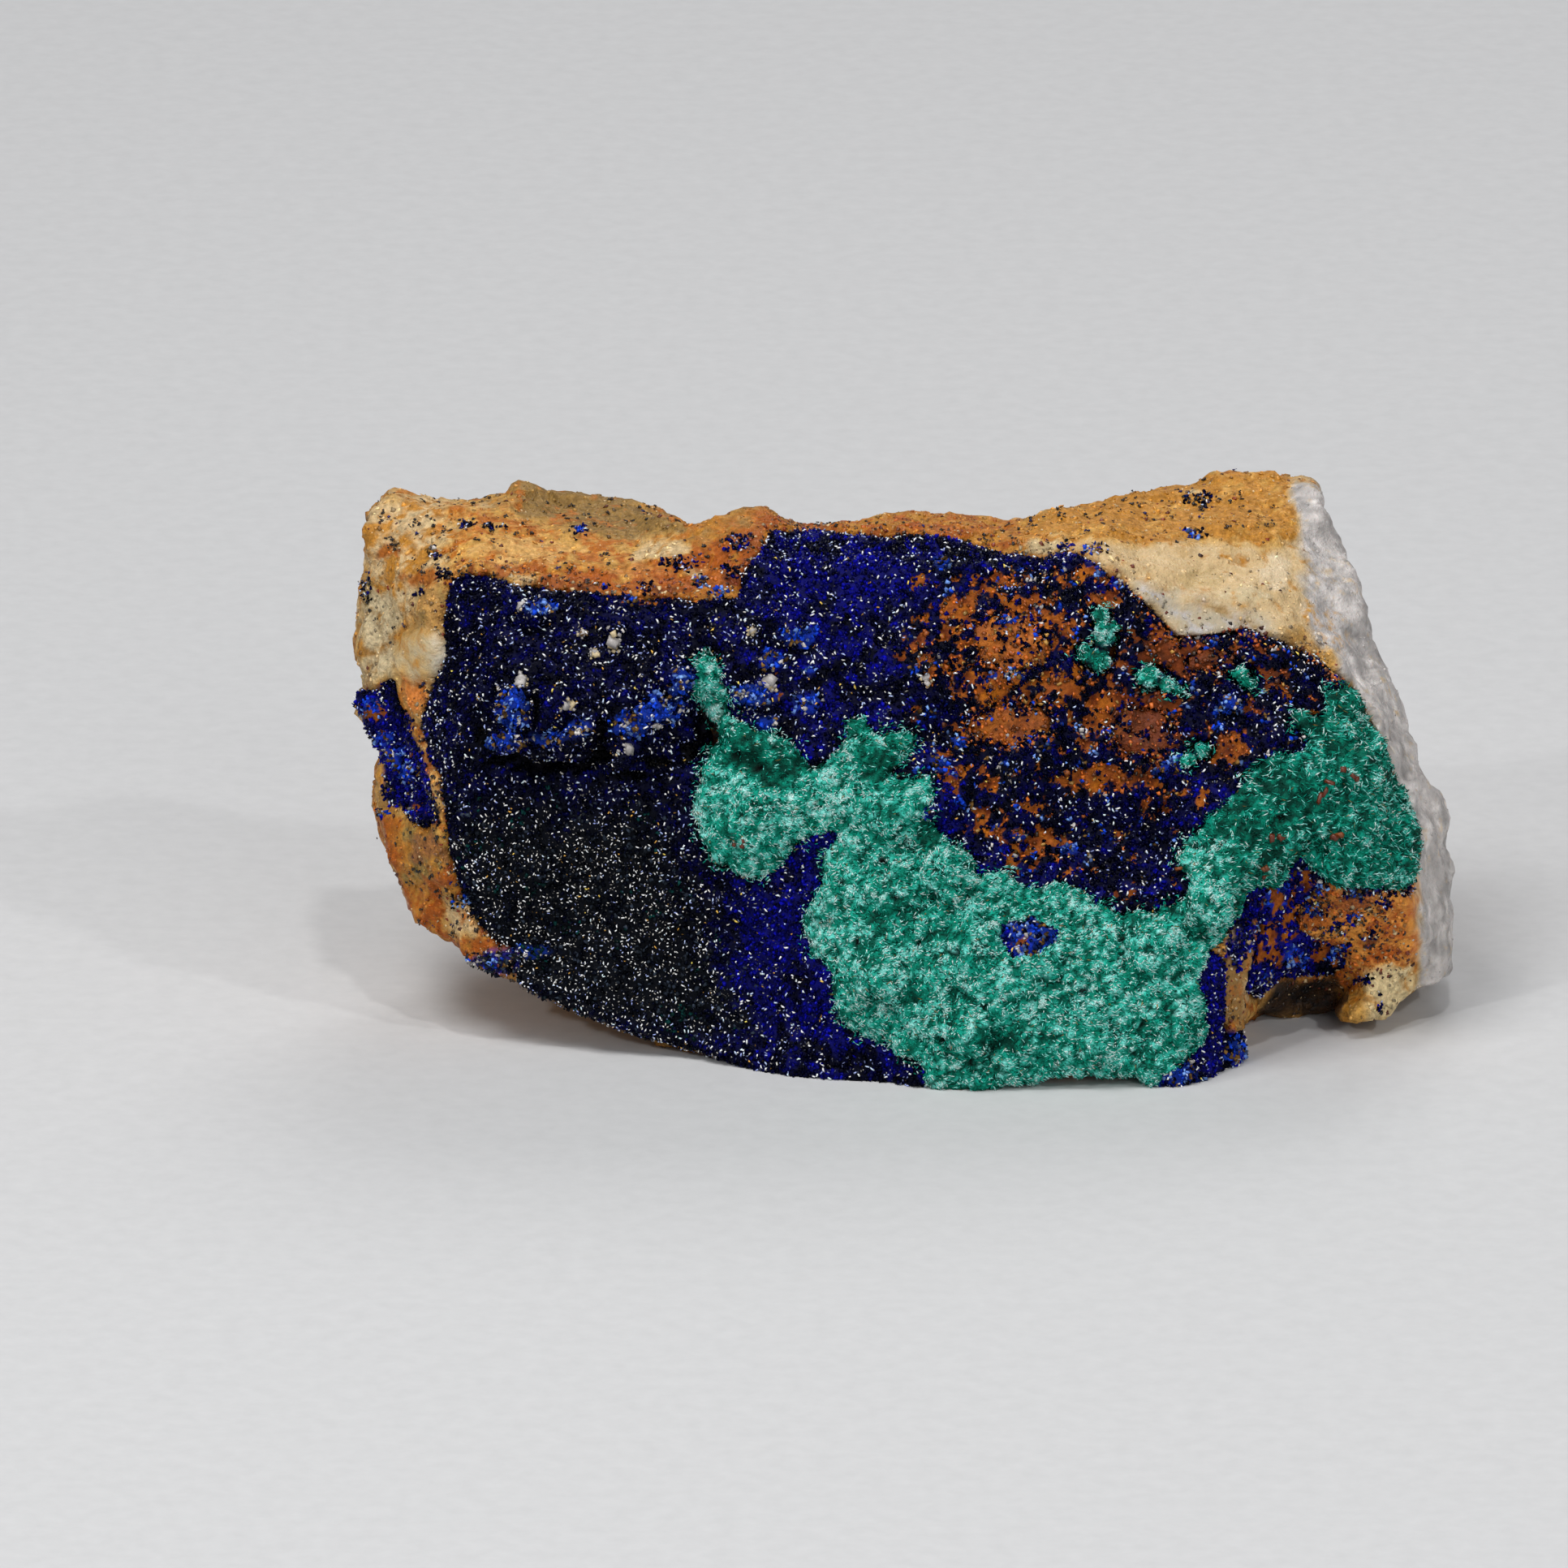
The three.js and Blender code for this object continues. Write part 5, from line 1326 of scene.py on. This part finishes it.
def dark_grains(stone_piece):
    """Dark grains that stand together in clusters, some of them blue."""
    roots, normals = scatter(stone_piece, dark_amount)
    together = 5
    normals = np.repeat(normals, together, 0)
    points = np.repeat(roots, together, 0)
    n = len(points)
    points = points + random.normal(size=(n, 3)) * 0.095 + 0.02 * normals
    size = chip_sizes(n, 0.04, 0.11, 1.2, 0.6)
    blue = np.repeat(random.random(len(roots)) < 0.15, together)
    tones = painted(rows(BLACK, n), random.random(n) < 0.3, CAVE, 0.4, 1.0)
    tones = painted(tones, blue, DEEP_BLUE, 0.3, 0.9)
    joined("dark_grains", GRAIN, points, leaning(normals, 0.2), size, tones, GRAINS, "azurite")


def chip_amount(face, normals):
    seen = face_zone(normals + 0.25 * FACE_V)
    stained = smooth(0.5, 0.1, white_share(face)) * (1 - spot(face, *NODULE, 0.1))
    edge = inside(face, CRUSTED)
    lively = np.maximum(8.0 * smooth(-2.5, -0.3, edge), 9.0 * crumbly_share(face))
    return stained * np.where(seen > 0.5, (2.5 + lively) * (edge < 0), 0.7)


def ochre_chips(stone_piece):
    """Chips in the stone's own colours, livelier near the crust and in the broken corner."""
    points, normals = scatter(stone_piece, chip_amount)
    tone, stain, cover, clear = stone_colours(points, normals)
    kept = random.random(len(points)) > 0.7 * clear
    points, normals, tone, stain, cover = (a[kept] for a in (points, normals, tone, stain, cover))
    n = len(points)
    face = to_face(points)
    size = chip_sizes(n, 0.05, 0.17, 1.3, 0.75)
    tones = mixed(tone, stain, smooth(0.3, 0.7, cover)) * random.uniform(0.6, 1.3, n)[:, None]
    beside = np.maximum(smooth(-1.6, -0.4, inside(face, CRUSTED)), 0.8 * crumbly_share(face))
    tones = painted(tones, random.random(n) < 0.1 + 0.3 * beside, RED_BROWN, 0.4, 1.5)
    tones = painted(tones, random.random(n) < 0.12 * beside, CAVE, 0.3, 0.9)
    tones = np.clip(painted(tones, random.random(n) < 0.15 * beside, CREAM, 0.7, 1.1), 0, 255)
    points = points - 0.03 * normals
    joined("ochre_chips", ROOF, points, leaning(normals, 0.4), size, tones, GRAINS, "quartz_matrix")


def pale_amount(face, normals):
    return (0.3 + 0.5 * white_share(face)) * (1 - rust_zone(face))


def pale_grains(stone_piece):
    """A few pale glassy grains, more of them on the white side."""
    points, normals = scatter(stone_piece, pale_amount)
    n = len(points)
    size = chip_sizes(n, 0.05, 0.12, 1.2)
    tones = mixed(CREAM, GREY_QUARTZ, white_share(to_face(points)))
    tones = tones * random.uniform(0.85, 1.1, n)[:, None]
    points = points - 0.03 * normals
    joined("pale_grains", ROOF, points, leaning(normals, 0.5), size, tones, GRAINS, "quartz_matrix")


def rust_amount(face, normals):
    edge = inside(face, CRUSTED)
    grain, _ = grains_of(face)
    bare = np.maximum(7 * (1 - grain) * smooth(0.1, 0.3, open_share(face)), 9 * rim_share(face))
    bare = bare * rust_zone(face) * (edge > 0)
    border = smooth(0.5, 0.15, np.abs(edge)) * (face[:, 0] > 12) * (face[:, 1] > -5)
    return np.maximum(bare, 12 * border * smooth(-0.4, 0.2, noise(face, 1.5, 103))) * face_zone(normals)


def rust_chips(pieces):
    """Loose chips of iron ore between the azurite grains and over the rims of the openings."""
    points, normals = gathered([scatter(piece, rust_amount) for piece in pieces])
    n = len(points)
    tones = mixed(DEEP_ORANGE, RED_BROWN, 0.8 * red_share(to_face(points)))
    tones = mixed(tones, RUST, random.random(n)) * random.uniform(0.5, 1.5, n)[:, None]
    tones = painted(tones, random.random(n) < 0.12, CAVE, 0.3, 1.0)
    tones = np.clip(painted(tones, random.random(n) < 0.06, HONEY, 0.7, 1.0), 0, 255)
    size = chip_sizes(n, 0.06, 0.17, 1.3, 0.8)
    points = points + 0.02 * normals
    joined("rust_chips", ROOF, points, leaning(normals, 0.45), size, tones, GRAINS, "quartz_matrix")


stone_piece = stone()
azurite_pieces = [
    azurite_crust("azurite_druse", "azurite_crust", DRUSE_VOXEL),
    azurite_crust("azurite_window", "azurite_window_crust"),
    azurite_crust("azurite_side_patch", "azurite_side_crust"),
    azurite_crust("azurite_recess_patch", "azurite_recess_crust"),
    azurite_crust("azurite_foot_patch", "azurite_foot_crust"),
]
azurite_crystals(azurite_pieces, stone_piece)
malachite_pieces = [malachite_crust("malachite_crust", "malachite_felt", FELT_VOXEL, FELT_SWELL)]
for tuft in ("top", "middle", "right", "low"):
    malachite_pieces.append(malachite_crust(f"malachite_tuft_{tuft}", f"malachite_felt_{tuft}"))
malachite_blades(malachite_pieces, azurite_pieces[0])
iron_flecks(malachite_pieces[0])
dark_grains(stone_piece)
ochre_chips(stone_piece)
pale_grains(stone_piece)
rust_chips([stone_piece, azurite_pieces[0]])
quartz_bits(azurite_pieces[0])


# Floor, light and camera

def floor():
    corners = FLOOR_REACH * np.array([(-1, -1, 0), (1, -1, 0), (1, 1, 0), (-1, 1, 0)])
    obj = mesh_from("floor", corners, np.array([(0, 1, 2), (0, 2, 3)]))
    material, tree, surface = shader("floor_paper")
    tint = grey(tree, ranged(tree, grain_of(tree, 1.5, 4.0), *GRAIN_RANGE, 0.60, 0.64))
    plug(tree, surface, {"Base Color": tint, "Roughness": 0.9})
    obj.data.materials.append(material)


def softbox(name, place, side, power):
    """A square light at a place in mm, aimed at the specimen."""
    data = bpy.data.lights.new(name, "AREA")
    data.size = side * MM
    data.energy = power
    lamp = placed(name, data)
    lamp.location = Vector(place) * MM
    aim = Vector(LIGHTS_AIM) * MM - lamp.location
    lamp.rotation_mode = "QUATERNION"
    lamp.rotation_quaternion = aim.to_track_quat("-Z", "Y")


def camera():
    data = bpy.data.cameras.new("camera")
    data.sensor_width = SENSOR
    data.lens = SENSOR * CAMERA_DISTANCE / PICTURE_WIDTH
    data.clip_start = 0.01
    data.clip_end = 20
    obj = placed("camera", data)
    obj.location = Vector((from_face(PICTURE_MIDDLE) + FACE_W * CAMERA_DISTANCE) * MM)
    obj.rotation_euler = (math.pi / 2 - LEAN, 0, 0)
    bpy.context.scene.camera = obj


floor()
softbox("key", (-260, -200, 680), 300, 2.7)
softbox("fill", (300, -700, 300), 400, 1.1)
softbox("spark_left", (-420, -500, 420), 40, 0.9)
softbox("spark_right", (450, -420, 500), 40, 0.9)
softbox("spark_top", (60, -300, 760), 40, 0.9)
softbox("back", (100, 500, 500), 300, 1.2)
camera()

world = bpy.data.worlds.new("studio")
world.use_nodes = True
sky = world.node_tree.nodes["Background"]
plug(world.node_tree, sky, {"Color": (0.9, 0.92, 1.0, 1), "Strength": 0.16})
bpy.context.scene.world = world
bpy.context.scene.view_settings.view_transform = "Standard"
